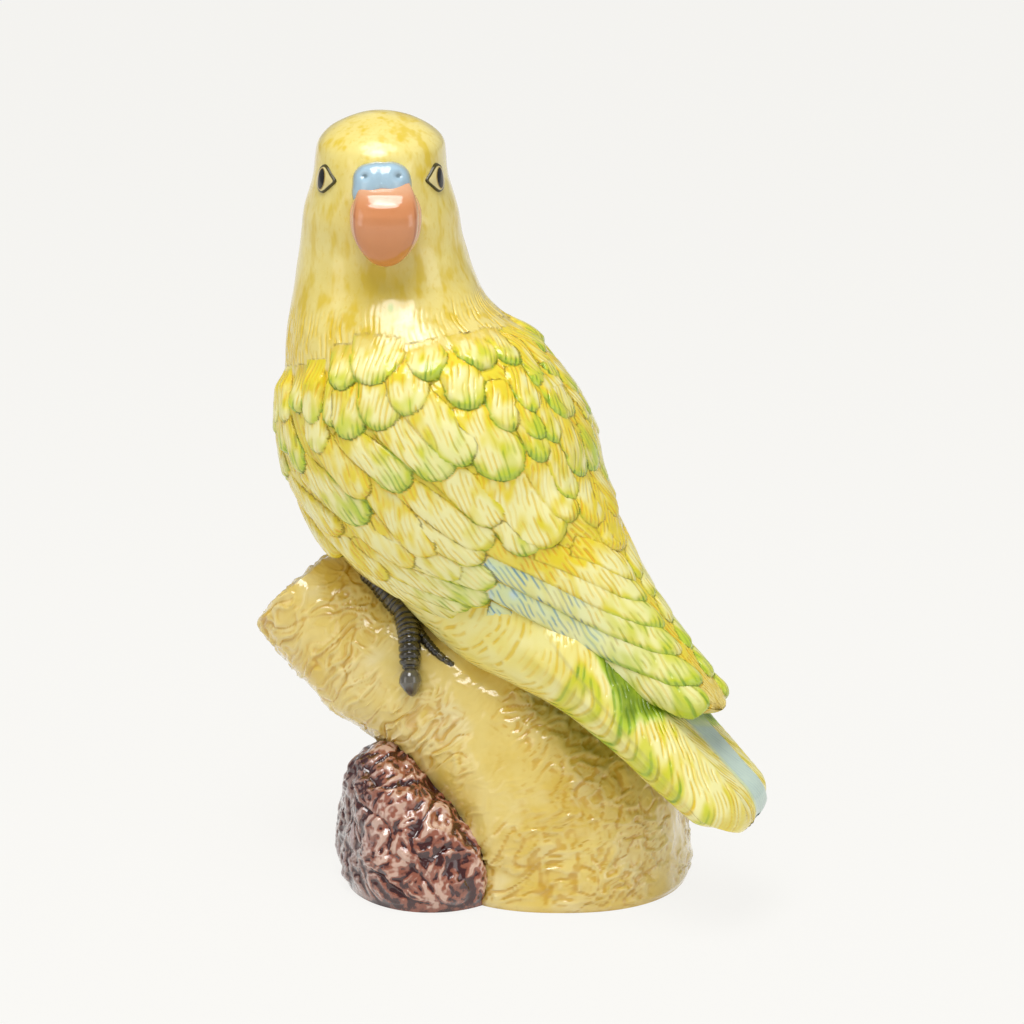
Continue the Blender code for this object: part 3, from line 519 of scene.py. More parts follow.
# %% List of the feathers
def lay_covert(side, group, tip, tip_share, root, root_share, half_width):
    """One covert of a group, a little longer and fuller than what shows of it."""
    green, yellow, slant = PAINT_OF[group]
    root = tip + COVERT_OVERLAP * (root - tip)
    root_share = tip_share + COVERT_OVERLAP * (root_share - tip_share)
    half_width *= COVERT_FULLNESS
    return {
        "kind": "collar" if tip_share < COLLAR_SHARE else "covert",
        "line": line_of(BODY, [(tip, tip_share), (root, root_share)], side, 9),
        "half_width": half_width, "tip": 1.25 * half_width, "slant": slant,
        "thickness": wing_thickness(tip_share), "lift": COVERT_LIFT,
        "green": green, "yellow": yellow, "blue": 0.0,
    }


def lay_flight(side, places, green, blue):
    """One long flight feather, with its root under the coverts."""
    root = np.array(places[0]) + FLIGHT_OVERLAP * (np.array(places[0]) - places[1])
    return {
        "kind": "flight",
        "line": line_of(BODY, places[:0:-1] + [tuple(root)], side, 31),
        "half_width": FLIGHT_HALF_WIDTH, "tip": 2.0 * FLIGHT_HALF_WIDTH, "slant": FLIGHT_SLANT,
        "thickness": FLIGHT_THICKNESS, "lift": FLIGHT_LIFT,
        "green": 1.3 * green, "yellow": 0.20, "blue": blue,
    }


def both_wings():
    made = []
    for side in (-1, 1):
        for group, rows in COVERTS.items():
            made += [lay_covert(side, group, *row) for row in rows]
        made += [lay_flight(side, *row) for row in FLIGHTS]
    return made


FEATHERS = both_wings()
print(len(FEATHERS), "feathers on both wings")

# %% Form and paint of one feather
def feather_height(one, back, side, depth_in):
    """How high a feather stands over the body at each point."""
    length = one["line"][4][-1]
    down = np.clip(-side / one["half_width"], -1, 1)
    crown = FEATHER_CROWN * (1 - down * down)
    slope = one["lift"] * (1 - np.clip(back / length, 0, 1))
    first, whole = KINDS[one["kind"]]["rise"]
    rise = smooth_step(length - back, first * length, whole * length)
    edge = np.clip(depth_in / FEATHER_EDGE, 0, 1)
    edge = 0.5 * edge * (2 - edge) + 0.5 * edge * edge * (3 - 2 * edge)
    lip = smooth_step(depth_in, -0.1, 0.5)
    return (one["thickness"] + slope + FEATHER_TILT * down + crown) * rise * (0.5 * lip + 0.5 * edge)


def feather_masks(one, seed, back, side, rim, spots):
    """The barbs of a feather, and its green, blue and yellow, at each of its points."""
    kind = KINDS[one["kind"]]
    length = one["line"][4][-1]
    share = np.clip(back / length, 0, 1)
    down = np.clip(-side / one["half_width"], -1, 1)
    number, press = hatch(back, side, one["slant"], BARB_PITCH, seed, spots)
    tint = scatter(seed + 1.0)
    streak = lumps(np.stack([back / 5.5, 0.6 * number, 0 * back + 3.7 * seed], axis=1), 1.0, seed=8)
    patchy = 0.85 + 0.5 * lumps(spots, 6.0, seed=5)
    toward_tip = smooth_step(1 - share, 0.45, 0.98)
    toward_rim = smooth_step(2.4 - rim, 0, 2.2)
    at_root = smooth_step(share, 0.40, 0.85)
    # The feather's core is paler, partly a painted highlight on its rounded top.
    pale_core_and_highlight = smooth_step(rim, 0.6, 3.2) * (1 - at_root)
    lower = smooth_step(down, -0.1, 0.9)
    feathered = np.ones(len(back))
    if one["kind"] == "collar":
        feathered = smooth_step(length - back, 0.32 * length, 0.62 * length)
    press *= smooth_step(rim, 0.1, 0.8) * smooth_step(length - back, 0, 2)
    press *= (1 - 0.30 * pale_core_and_highlight) * (0.35 + 0.65 * feathered)
    # Green is strongest at the tip and rim, and more on the lower side, partly as painted shade.
    green = 0.12 + 0.50 * toward_tip + toward_rim * (0.25 + 0.65 * toward_tip) * (0.3 + 0.7 * lower)
    green = one["green"] * (green * patchy * (0.8 + 0.4 * tint) + 0.35 * streak)
    blue = 0.6 * smooth_step(share, 0.10, 0.55) + 0.35 * smooth_step(share, 0.55, 0.80)
    blue *= one["blue"] * patchy
    warm = smooth_step(spots[:, 0] + 0.45 * (spots[:, 2] - 130), -12, 14)
    yellow = one["yellow"] + kind["root_yellow"] * at_root + 0.6 * (1 - pale_core_and_highlight) + 0.9 * streak
    yellow += 0.1 + 0.3 * (tint - 0.5) + kind["warmth"] * warm
    yellow = np.clip(yellow * patchy, 0, 1) * (1 - 0.6 * blue)
    return np.stack([number, press, feathered], 1), np.stack([np.clip(green, 0, 1), blue, yellow], 1)


# %% Laying them all
def lay_plumage(points, normals, feathers, height, paint, barbs):
    """Raises the grid under every feather and fills in its paint and barbs."""
    for seed, one in enumerate(feathers):
        near, back, side = over_feather(one["line"], one["half_width"], points, normals)
        depth_in = inside(back, side, one["half_width"], one["tip"], one["line"][4][-1])
        value = feather_height(one, back, side, depth_in)
        wins = (value > height[near]) & (depth_in > 0)
        at = near[wins]
        height[at] = value[wins]
        rim = depth_in[wins]
        barbs[at], paint[at, 1:] = feather_masks(one, seed, back[wins], side[wins], rim, points[at])


def pooled(height, reach, low, high):
    """Where a point lies below its surroundings, so that glaze gathers there."""
    around = height.copy()
    for _ in range(reach):
        sides = np.roll(around, 1, axis=1) + np.roll(around, -1, axis=1)
        padded = np.pad(around, ((1, 1), (0, 0)), mode="edge")
        around = 0.2 * (around + sides + padded[2:] + padded[:-2])
    return np.clip((around - height - low) / (high - low), 0, 1)


print("a lone bump is", pooled(np.eye(3), 1, 0.0, 1.0)[0, 0], "pooled on its top")

# %% [markdown]
# ## The tail's ruler and brushwork
# Rump and tail are painted as one, across the line where their clay meets. So both use the
# same ruler: how far up from the tail's tip a point lies, and how far to the side of its
# middle line. The barbs run out from the ridge like a herringbone.

# %% Rump and tail brushwork
RIDGE_AT = -9.0
OUTER_STEP_AT = -22.5
BLUE_AT = -1.5
EDGE_STEP_AT = 10.5
TAIL_SLANT = 24
TAIL_BARB_PITCH = 1.3


def tail_ruler(points):
    """How far up the tail from its tip a point lies, and how far to the side."""
    tip = np.array(TAIL["sections"][-1][:3])
    up = unit(np.array(TAIL["sections"][1][:3]) - tip)
    turn = math.radians(BIRD_TURN)
    return (points - tip) @ up, (points - tip) @ np.array([math.sin(turn), math.cos(turn), 0])


def brush_tail(points):
    """The barbs and the painter's masks of the rump and tail, with a painted shadow under the wing's tip.
    """
    up, side = tail_ruler(points)
    from_ridge = side - RIDGE_AT
    number = np.zeros(len(points))
    press = np.zeros(len(points))
    for part, slant, seed in ((from_ridge < 0, TAIL_SLANT, 301), (from_ridge >= 0, -TAIL_SLANT, 302)):
        number[part], press[part] = hatch(
            up[part] + 40, from_ridge[part], slant, TAIL_BARB_PITCH, seed, points[part]
        )
    patchy = 0.8 + 0.5 * lumps(points, 8.0, seed=6)
    streak = lumps(np.stack([up / 6.0, 0.6 * number, 0 * up], axis=1), 1.0, seed=9)
    on_tail = smooth_step(-up, -78, -60)
    outer = smooth_step(-side, -OUTER_STEP_AT - 4.5, -OUTER_STEP_AT - 2.5)
    blue = smooth_step(side, BLUE_AT - 0.8, BLUE_AT + 1.6)
    blue *= smooth_step(-side, -EDGE_STEP_AT - 1.5, -EDGE_STEP_AT)
    # Painted shadow of the wing's tip on the tail: deep green, pooled colour and less blue.
    shadow = smooth_step(up - 41 + 0.42 * (side + 15), -5, 3)
    shadow *= smooth_step(side + 22 - 0.25 * (up - 45), 0, 4)
    masks = np.zeros((len(points), 4))
    masks[:, 0] = 0.85 * shadow
    masks[:, 1] = np.clip((0.05 * patchy + 0.25 * outer + 0.45 * streak) * on_tail + shadow, 0, 1)
    masks[:, 2] = 0.9 * blue * (1 - 0.6 * shadow)
    yellow = 0.55 * patchy - 0.15 * on_tail + 0.8 * on_tail * streak + 0.4 * smooth_step(-up, -8, 0)
    masks[:, 3] = np.clip(yellow + 0.25 * on_tail * outer, 0, 1) * (1 - blue)
    broken = np.maximum(smooth_step(lumps(points, 3.0, seed=10), -0.35, 0.10), 0.75 * on_tail)
    return number, press * broken * (1 - 0.8 * blue), masks


print("tail ruler at the crown", np.round(tail_ruler(np.array(BODY["sections"][0][:3])), 1))

# %% [markdown]
# ## The body's grid
# The camera sees the left wing, so the grid is closer there. The head is drawn with rings
# that crowd towards the crown, where the form closes.

# %% Body grid
NECK_SHARE = 0.30
head_shares = NECK_SHARE * (1 - np.cos(np.linspace(0, math.pi / 2, 110))) ** 0.85
body_shares = np.concatenate([head_shares, np.linspace(NECK_SHARE, 1.0, 330)[1:]])
body_angles = np.concatenate([np.linspace(-180, 0, 279)[:-1], np.linspace(0, 180, 199)[:-1]])
shares, angles = np.meshgrid(body_shares, body_angles, indexing="ij")
base = loft(BODY, shares, angles)
base_normals = facing_out(base)
points = base.reshape(-1, 3)
flat_shares = shares.ravel()
flat_angles = angles.ravel()
height = wing_mass(flat_shares, flat_angles)
print(len(points), "points on the body")

# %% [markdown]
# Bare skin is painted first. From the neck down it is hatched along the bird with a
# modelling tool. The neck has a pale patch, partly a painted highlight of the lamps above
# it, the throat is a darker ochre that is partly painted shade under the beak, and there
# is one small green spot.

# %% Paint the bare skin
THROAT_OCHRE_AND_SHADE = ([-39, -12, 186], [13, 14, 9])
NECK_PALE_AND_HIGHLIGHT = ([-32, -20, 179], [11, 14, 9])
GREEN_SPOT = ([-37.4, -19, 182.4], [1.3, 8, 1.8])
UNDER_FEATHERS = np.array([0.3, 0.2, 0.0, 0.9])
SKIN_SLANT = 12
SKIN_PITCH = 2.1
around = np.radians(flat_angles) * 36 * np.interp(flat_shares, [0.5, 0.8], [1.0, 0.6])
number, press = hatch(300 * flat_shares, around, SKIN_SLANT, SKIN_PITCH, 77, points)
# Pale patch on the neck: partly paler glaze, partly a painted highlight.
cream = patch(points, *NECK_PALE_AND_HIGHLIGHT)
spot = patch(points, *GREEN_SPOT)
on_wing = smooth_step(height, 0.2, 1.6)
barbs = np.stack([number, press * smooth_step(flat_shares, 0.23, 0.27) * (1 - cream), on_wing], axis=1)
# The throat takes more ochre, partly painted shade under the beak.
yellow = 0.5 + 0.5 * patch(points, *THROAT_OCHRE_AND_SHADE) - 0.4 * cream
paint = np.stack([0.7 * spot, 0.6 * spot, 0 * spot, yellow], axis=1)
paint += (UNDER_FEATHERS - paint) * on_wing[:, None]
print("bare skin is", round(100 * float(np.mean(on_wing < 0.5))), "percent of the points")

# %% Paint the rump
on_rump = (flat_shares > 0.60) & (np.abs(flat_angles) > wing_reach(flat_shares) - 3)
rump_share = smooth_step(flat_shares, 0.60, 0.72) * on_rump
number, press, masks = brush_tail(points)
barbs[on_rump, 0] = number[on_rump]
barbs[on_rump, 1] = press[on_rump]
barbs[:, 2] = np.maximum(barbs[:, 2], rump_share)
paint += (masks - paint) * rump_share[:, None]
print(int(on_rump.sum()), "points on the rump")

# %% Lay the plumage on the body
# The pool channel holds painted pools and, on the rump, the painted shadow under the wing.
painted_pool_and_shadow = paint[:, 0].copy()
lay_plumage(points, base_normals.reshape(-1, 3), FEATHERS, height, paint, barbs)
mantle = np.interp(np.abs(flat_angles), [0, 50], [MANTLE_FLATNESS, 1])
height *= np.interp(flat_shares, [0.65, 0.80], [1, 0]) * (mantle - 1) + 1
height += 0.25 * lumps(points, 14.0, 2, seed=1)
crease = pooled(height.reshape(shares.shape), 7, 0.03, 0.32)
paint[:, 0] = np.maximum(crease.ravel(), painted_pool_and_shadow * (height < 0.4 * WING_THICKNESS))
height -= BARB_DEPTH * cut(barbs[:, 0]) * barbs[:, 1]
body_points = base + base_normals * height.reshape(shares.shape)[..., None]
body_normals = facing_out(body_points)
body_masks = {"paint": paint.reshape(shares.shape + (4,)), "barbs": barbs.reshape(shares.shape + (3,))}
print("relief from", round(height.min(), 2), "to", round(height.max(), 2), "mm")

# %% [markdown]
# The body is cut into three pieces, because one mesh of it would be heavy to handle: head
# and neck, shoulders, and the wings with the rump. They share the points of their rims.

# %% Cut the body into pieces
CUTS = {"head_and_neck": (0.0, 0.30), "shoulders": (0.30, 0.56), "wings_and_rump": (0.56, 1.0)}
plumage_pieces = []
for name, (first, last) in CUTS.items():
    start, end = np.searchsorted(body_shares, [first, last])
    rings = slice(start, end + 1)
    masks = {label: values[rings] for label, values in body_masks.items()}
    plumage_pieces.append(add_piece(name, body_points[rings], body_normals[rings], masks))

# %% [markdown]
# ## The tail
# The tail is a flat roof: two broad feathers that meet in a ridge, and a narrow feather
# along each edge. Cut feathers would need many pieces, so the steps between them and the
# ridge are raised from one loft, measured by how far round the tail a point lies.

# %% Form of the tail
RIDGE_WIDTH = 11.0
tail_shares = 1 - (1 - np.linspace(0, 1, 230)) ** 1.1
tail_angles = np.concatenate([np.linspace(-125, 60, 191)[:-1], np.linspace(60, 235, 71)[:-1]])
shares, angles = np.meshgrid(tail_shares, tail_angles, indexing="ij")
base = loft(TAIL, shares, angles)
steps = np.linalg.norm(np.diff(base, axis=1), axis=2)
around = np.concatenate([np.zeros((len(base), 1)), np.cumsum(steps, axis=1)], axis=1)
around -= around[:, [int(np.argmin(np.abs(tail_angles)))]]
from_ridge = around - RIDGE_AT
height = 1.5 * np.clip(1 - np.abs(from_ridge) / RIDGE_WIDTH, 0, 1)
height += 0.9 * smooth_step(around, OUTER_STEP_AT - 0.5, OUTER_STEP_AT + 0.6)
height += 0.8 * smooth_step(-around, -EDGE_STEP_AT - 0.5, -EDGE_STEP_AT + 0.6)
height += 0.5 * smooth_step(-around, -BLUE_AT - 0.5, -BLUE_AT + 0.5)
height *= smooth_step(75 - np.abs(angles + 20), 0, 12) * smooth_step(shares, 0.30, 0.42)
height += 0.2 * lumps(base.reshape(-1, 3), 12.0, 2, seed=4).reshape(shares.shape)
print("the tail's steps stand up to", round(height.max(), 1), "mm high")

# %% Paint and build the tail
number, press, masks = brush_tail(base.reshape(-1, 3))
number = number.reshape(shares.shape)
press = press.reshape(shares.shape) * smooth_step(np.abs(from_ridge), 0.2, 1.0)
masks = masks.reshape(shares.shape + (4,))
masks[..., 0] = np.maximum(pooled(height, 4, 0.03, 0.30), masks[..., 0])
height -= BARB_DEPTH * cut(number) * press
points = base + facing_out(base) * height[..., None]
tail_barbs = np.stack([number, press, np.ones(shares.shape)], axis=-1)
tail = add_piece("tail", points, facing_out(points), {"paint": masks, "barbs": tail_barbs})
plumage_pieces.append(tail)

# %% [markdown]
# ## The stump
# Bark on such a casting is modelled like crumpled paper: soft worm-like ridges with
# cracks between them. Noise folded about zero gives exactly such lines. The underside is
# the part's own flat foot with the vent hole, so the rings run on inwards to that hole.

# %% Bark of the stump
VENT_RADIUS = 8.0
VENT_DEPTH = 14.0
VENT_MIDDLE = np.array([14.0, 1.5, 0.0])
GRAIN = np.array([[0.35, -0.85, 0.30], [0.20, 0.30, 0.90], [0.45, 0.75, 0.50]])
TAIL_SHADE_ON_STUMP = ([26, -38, 52], [16, 26, 18])


def folded(points, size, seed):
    """1 along crooked lines, falling to 0 between them."""
    return np.clip(1 - 3.2 * np.abs(lumps(points, size, 1, seed)), 0, 1)


def warped(points, amount, size, seeds):
    """The points pushed about by noise, so that what is drawn on them turns crooked."""
    return points + amount * np.stack([lumps(points, size, 1, seed) for seed in seeds], axis=1)


def foot_share(form):
    """The share of a form's length at which it meets the ground."""
    tries = np.linspace(0, 0.3, 601)
    return float(np.interp(0, through_sections(form["sections"], tries)[:, 2], tries))


def set_down(base, height):
    """The relief raised on a form whose first ring stands flat on the ground."""
    points = base + facing_out(base) * height[..., None]
    points[..., 2] = np.maximum(points[..., 2], 0)
    points[0, :, 2] = 0
    return points


start = foot_share(STUMP)
end_rings = 1 - 0.02 * (1 - np.linspace(0, 1, 30)) ** 1.8
stump_shares = start + (1 - start) * np.concatenate([np.linspace(0, 0.98, 320)[:-1], end_rings])
stump_angles = np.linspace(-180, 180, 251)[:-1]
shares, angles = np.meshgrid(stump_shares, stump_angles, indexing="ij")
base = loft(STUMP, shares, angles)
flat = base.reshape(-1, 3)
grain = warped(flat, 2.4, 7.0, (21, 22, 23)) @ GRAIN
ridges = folded(grain * [0.55, 1, 1], 5.5, 24)
wrinkles = folded(grain * [0.5, 1, 1], 2.8, 25)
cracks = folded(grain * [0.4, 1, 1], 9.0, 26) ** 4
area = smooth_step(lumps(flat, 22.0, 1, 27), -0.45, 0.25)
height = 1.2 * lumps(flat, 19.0, 2, 28) + 0.75 * ridges ** 2 * (0.2 + 0.8 * area)
height += 0.30 * wrinkles * (0.25 + 0.75 * area) - 0.45 * cracks * area
height = (height - 0.2).reshape(shares.shape)
height *= smooth_step(base[..., 2], -0.2, 4.0)
height -= 0.8 * (1 - smooth_step(base[..., 2], 0.0, 2.0))
print("bark relief from", round(height.min(), 1), "to", round(height.max(), 1), "mm")

# %% Build the stump
points = set_down(base, height)
circle = np.radians(stump_angles)
vent_rim = VENT_MIDDLE + VENT_RADIUS * np.stack([np.cos(circle), np.sin(circle), 0 * circle], axis=1)
ground = [vent_rim + [0, 0, VENT_DEPTH], vent_rim]
ground += [vent_rim + (points[0] - vent_rim) * share for share in (0.25, 0.5, 0.75)]
masks = np.zeros((len(ground) + len(points), len(circle), 4))
masks[len(ground):, :, 0] = pooled(height, 4, 0.0, 0.20)
masks[len(ground):, :, 1] = (ridges * (0.3 + 0.7 * area)).reshape(shares.shape)
masks[len(ground):, :, 2] = (cracks * area).reshape(shares.shape)
# Fourth channel: painted shade of the tail over the stump.
masks[len(ground):, :, 3] = patch(base, *TAIL_SHADE_ON_STUMP)
stump = add_piece("stump", np.concatenate([np.array(ground), points]), None, {"paint": masks})
stump.data.set_sharp_from_angle(angle=math.radians(62))

# %% [markdown]
# ## The rock
# The rock is lumpy and pitted, and its wet-looking bumps each catch the lamp. Large lumps
# give its form. Hollows from folded noise, swirls and fine grit are worked into them, and
# the side that faces away from the stump is painted a greyer lilac.

# %% Build the rock
rock_shares = np.linspace(foot_share(ROCK), 1, 170)
rock_angles = np.linspace(-180, 180, 361)[:-1]
shares, angles = np.meshgrid(rock_shares, rock_angles, indexing="ij")
base = loft(ROCK, shares, angles)
flat = base.reshape(-1, 3)
crooked = warped(flat, 2.5, 10.0, (31, 32, 33))
hollows = folded(crooked, 13.0, 34) ** 2
swirls = 1 - 2 * np.abs(lumps(crooked, 7.0, 3, 35))
grit = lumps(crooked, 3.0, 2, 37)
height = 0.2 + 1.8 * lumps(flat, 16.0, 2, 36) - 1.0 * hollows + 0.65 * swirls + 0.28 * grit
height = height.reshape(shares.shape) * smooth_step(base[..., 2], -0.5, 6.0)
points = set_down(base, height)
masks = np.zeros(shares.shape + (4,))
masks[..., 0] = pooled(height, 9, -0.24, 0.24)
masks[..., 1] = smooth_step(-base[..., 0], 38, 54)
rock = add_piece("rock", points, None, {"paint": masks})
rock.data.set_sharp_from_angle(angle=math.radians(70))

# %% [markdown]
# ## The feet
# Each foot shows a thick toe over the edge of the stump, a thin toe beside it and a toe
# behind. A toe is a tube that follows a path on the stump, given as shares and angles,
# ringed with scales, and the thick front toe ends in a smooth claw.

# %% Build the feet
TOES = {
    "back_toe": ([(0.885, 14), (0.846, 16), (0.800, 23), (0.762, 29)], [2.5, 3.3, 3.5], 0.45),
    "front_toe": ([
        (0.790, 22), (0.762, 28), (0.719, 46), (0.686, 62), (0.662, 73),
    ], [3.5, 3.7, 3.3], 0.45),
    "claw": ([(0.668, 70), (0.640, 81), (0.618, 88)], [3.3, 3.5, 1.2], 0.6),
    "thin_toe": ([
        (0.740, 32), (0.708, 40), (0.676, 48), (0.640, 54), (0.612, 57),
    ], [1.5, 1.6, 0.9], 0.5),
}
SCALE_PITCH = 1.9


def build_toe(name, side, path, radii, lift, scaled):
    """A ringed tube along a path of shares and angles on the stump."""
    spots = [place_on(STUMP, share, side * angle) for share, angle in path]
    knots = np.array([np.concatenate([spot, normal]) for spot, normal in spots])
    along_share = np.linspace(0, 1, 110)
    rows = through_sections(knots, along_share)
    middle = rows[:, :3]
    up = unit(rows[:, 3:])
    across = np.cross(unit(np.gradient(middle, axis=0)), up)
    run = run_along(middle)
    radius = np.interp(along_share, np.linspace(0, 1, len(radii)), radii)
    from_end = np.clip(np.minimum(run, run[-1] - run) / radius, 0, 1)
    nose = np.sqrt(np.clip(1 - (1 - from_end) ** 2, 0.02, 1))
    groove = 0.5 + 0.5 * np.cos(2 * math.pi * (run / SCALE_PITCH + 0.7 * lumps(middle, 5.0, seed=41)))
    angle = np.linspace(0, 2 * math.pi, 37)[:-1]
    pinch = (groove ** 3)[:, None] * scaled
    size = (radius * nose)[:, None] * (1 - 0.14 * pinch)
    height = np.sin(angle)[None] * (1.0 + 0.12 * (1 - scaled))
    points = (
        (middle + up * (radius * lift)[:, None])[:, None]
        + across[:, None] * (np.cos(angle)[None] * size)[..., None]
        + up[:, None] * (height * size)[..., None]
    )
    masks = np.zeros(points.shape[:2] + (4,))
    masks[..., 0] = pinch
    return add_piece(name, points, facing_out(points), {"paint": masks})


toe_pieces = []
claw_pieces = []
for side, word in ((-1, "left"), (1, "right")):
    for toe, (path, radii, lift) in TOES.items():
        scaled = 0.0 if toe == "claw" else 1.0
        piece = build_toe(f"{word}_{toe}", side, path, radii, lift, scaled)
        (claw_pieces if toe == "claw" else toe_pieces).append(piece)

# %% [markdown]
# ## Beak and cere
# The beak is an egg that points down, wider than it is deep, with the pale rim of the
# lower half showing behind it. Over it sits the cere, a blue saddle of bare skin with two
# nostrils. The cere's outline is drawn from points round its middle, as a potter would cut
# a slab, and then it is domed.

# %% Build the beak
BEAK_MIDDLE_X = -38.7
BEAK_TOP = 219.7
BEAK_LENGTH = 24.6
BEAK_HALF_WIDTH = 10.0
BEAK_LEVELS = np.array([
    (0.00, 0.70, 0.20), (0.10, 0.85, 0.62), (0.22, 0.95, 0.86), (0.35, 1.00, 0.98), (0.47, 1.00, 1.00),
    (0.59, 0.96, 0.98), (0.67, 0.90, 0.95), (0.76, 0.79, 0.89), (0.847, 0.65, 0.80), (0.90, 0.53, 0.73),
    (0.935, 0.43, 0.67), (0.97, 0.30, 0.58), (1.00, 0.06, 0.42),
])
HEAD_TRIES = np.linspace(0, 0.3, 400)
HEAD_ROWS = through_sections(BODY["sections"], HEAD_TRIES)


def face_front(x, z):
    """How far forward the head's front lies at each x and height z."""
    cap = np.sqrt(np.clip(1 - (1 - np.clip(HEAD_TRIES / BODY["first_cap"], 0, 1)) ** 2, 0, 1))
    columns = (HEAD_ROWS[:, 0], HEAD_ROWS[:, 1], HEAD_ROWS[:, 3] * cap, HEAD_ROWS[:, 5] * cap)
    middle_x, middle_y, half_width, half_depth = (
        np.interp(-np.asarray(z, float), -HEAD_ROWS[:, 2], column) for column in columns
    )
    share = np.clip(np.abs((x - middle_x) / half_width), 0, 0.98)
    return middle_y - half_depth * (1 - share ** BODY["power"]) ** (1 / BODY["power"])


def build_beak(name, wider, back_by, out, first, last):
    """One half of the beak, between two shares of its length."""
    share = first + (last - first) * (0.5 - 0.5 * np.cos(np.linspace(0, math.pi, 90)))
    width = np.interp(share, BEAK_LEVELS[:, 0], BEAK_LEVELS[:, 1]) * BEAK_HALF_WIDTH
    width += wider * smooth_step(share, first, first + 0.15)
    reach = np.interp(share, BEAK_LEVELS[:, 0], BEAK_LEVELS[:, 2]) * out
    for _ in range(3):
        width[1:-1] = (width[:-2] + width[1:-1] + width[2:]) / 3
        reach[1:-1] = (reach[:-2] + reach[1:-1] + reach[2:]) / 3
    face = face_front(BEAK_MIDDLE_X, BEAK_TOP)
    front = face - reach + back_by
    back = face + 3 * (1 - share) + back_by
    angle = np.linspace(0, 2 * math.pi, 81)[:-1]
    pointed = np.sin(angle) - 0.14 * np.cos(2 * angle) * (np.sin(angle) < 0)
    middle = 0.5 * (front + back)[:, None] + 0.5 * (back - front)[:, None] * pointed[None]
    points = np.stack([
        BEAK_MIDDLE_X + width[:, None] * np.cos(angle)[None],
        middle,
        np.broadcast_to((BEAK_TOP - BEAK_LENGTH * share)[:, None], middle.shape),
    ], axis=-1)
    masks = np.zeros(points.shape[:2] + (4,))
    masks[..., 0] = share[:, None]
    masks[..., 1] = np.clip(-np.sin(angle), 0, 1)[None]
    return add_piece(name, points, facing_out(points), {"paint": masks})


beak = build_beak("beak", 0.0, 0.0, 12.5, 0.0, 1.0)
lower_mandible = build_beak("lower_mandible", 0.7, 3.6, 11.0, 0.16, 0.97)

# %% Build the cere
CERE_MIDDLE = (-39.8, 219.4)
CERE_DOME = 4.3
CERE_OUTLINE = np.array([
    (-8.9, -0.6), (-8.9, -5.4), (-6.6, -6.6), (-3.6, -4.4), (0.0, -3.2), (3.8, -3.8), (8.3, -4.6),
    (8.9, 0.0), (7.7, 3.8), (5.0, 5.7), (0.5, 6.1), (-3.6, 5.9), (-7.0, 4.8), (-8.8, 2.4),
])
NOSTRILS_X = (-5.0, 5.0)
NOSTRIL_Z = 2.0


def nostrils(x, z, half_width, half_height):
    """1 in the middle of each nostril, fading out at its edge."""
    return sum(
        np.exp(-((x - at) / half_width) ** 2 - ((z - NOSTRIL_Z) / half_height) ** 2) for at in NOSTRILS_X
    )


def build_cere():
    bearing = np.degrees(np.arctan2(CERE_OUTLINE[:, 1], CERE_OUTLINE[:, 0]))
    order = np.argsort(bearing)
    distance = np.hypot(CERE_OUTLINE[order, 0], CERE_OUTLINE[order, 1])
    around = np.linspace(-180, 180, 121)[:-1]
    edge = np.interp(around, bearing[order], distance, period=360)
    for _ in range(4):
        edge = (np.roll(edge, 1) + edge + np.roll(edge, -1)) / 3
    share = np.sin(np.linspace(0.02, 1, 60) * math.pi / 2)[:, None]
    x = share * edge * np.cos(np.radians(around))
    z = share * edge * np.sin(np.radians(around))
    dome = CERE_DOME * np.sqrt(np.clip(1 - share ** 2.6, 0, 1)) * (1 - 0.12 * np.exp(-(x / 2.0) ** 2))
    dome -= 1.1 * nostrils(x, z, 1.2, 1.0)
    world_x = CERE_MIDDLE[0] + x
    world_z = CERE_MIDDLE[1] + z
    front = face_front(world_x, world_z) - dome + 0.9 * smooth_step(share, 0.93, 1.0)
    points = np.stack([world_x, front, world_z + 0.25 * dome], axis=-1)
    masks = np.zeros(points.shape[:2] + (4,))
    masks[..., 0] = nostrils(x, z, 1.1, 0.9)
    masks[..., 1] = share
    return add_piece("cere", points, facing_away(points, [0, -1, 0]), {"paint": masks})


cere = build_cere()

# %% [markdown]
# ## The eyes
# Each eye is a low almond lens pointed towards the beak. It lies on the side of the head,
# so its grid is laid over the head's own curve and then domed. Its outline, iris and pupil
# are brush work, drawn later in the material from the lens's own ruler.

# %% Build the eyes
EYE_HEIGHT = 219.4
EYE_BEARINGS = (33.0, 38.0)
EYE_HALF_WIDTH = 4.5
EYE_HALF_HEIGHT = 4.4
HEAD_AXIS = np.array([-41.5, 11.0, 0.0])
HEAD_RADIUS = 21.5


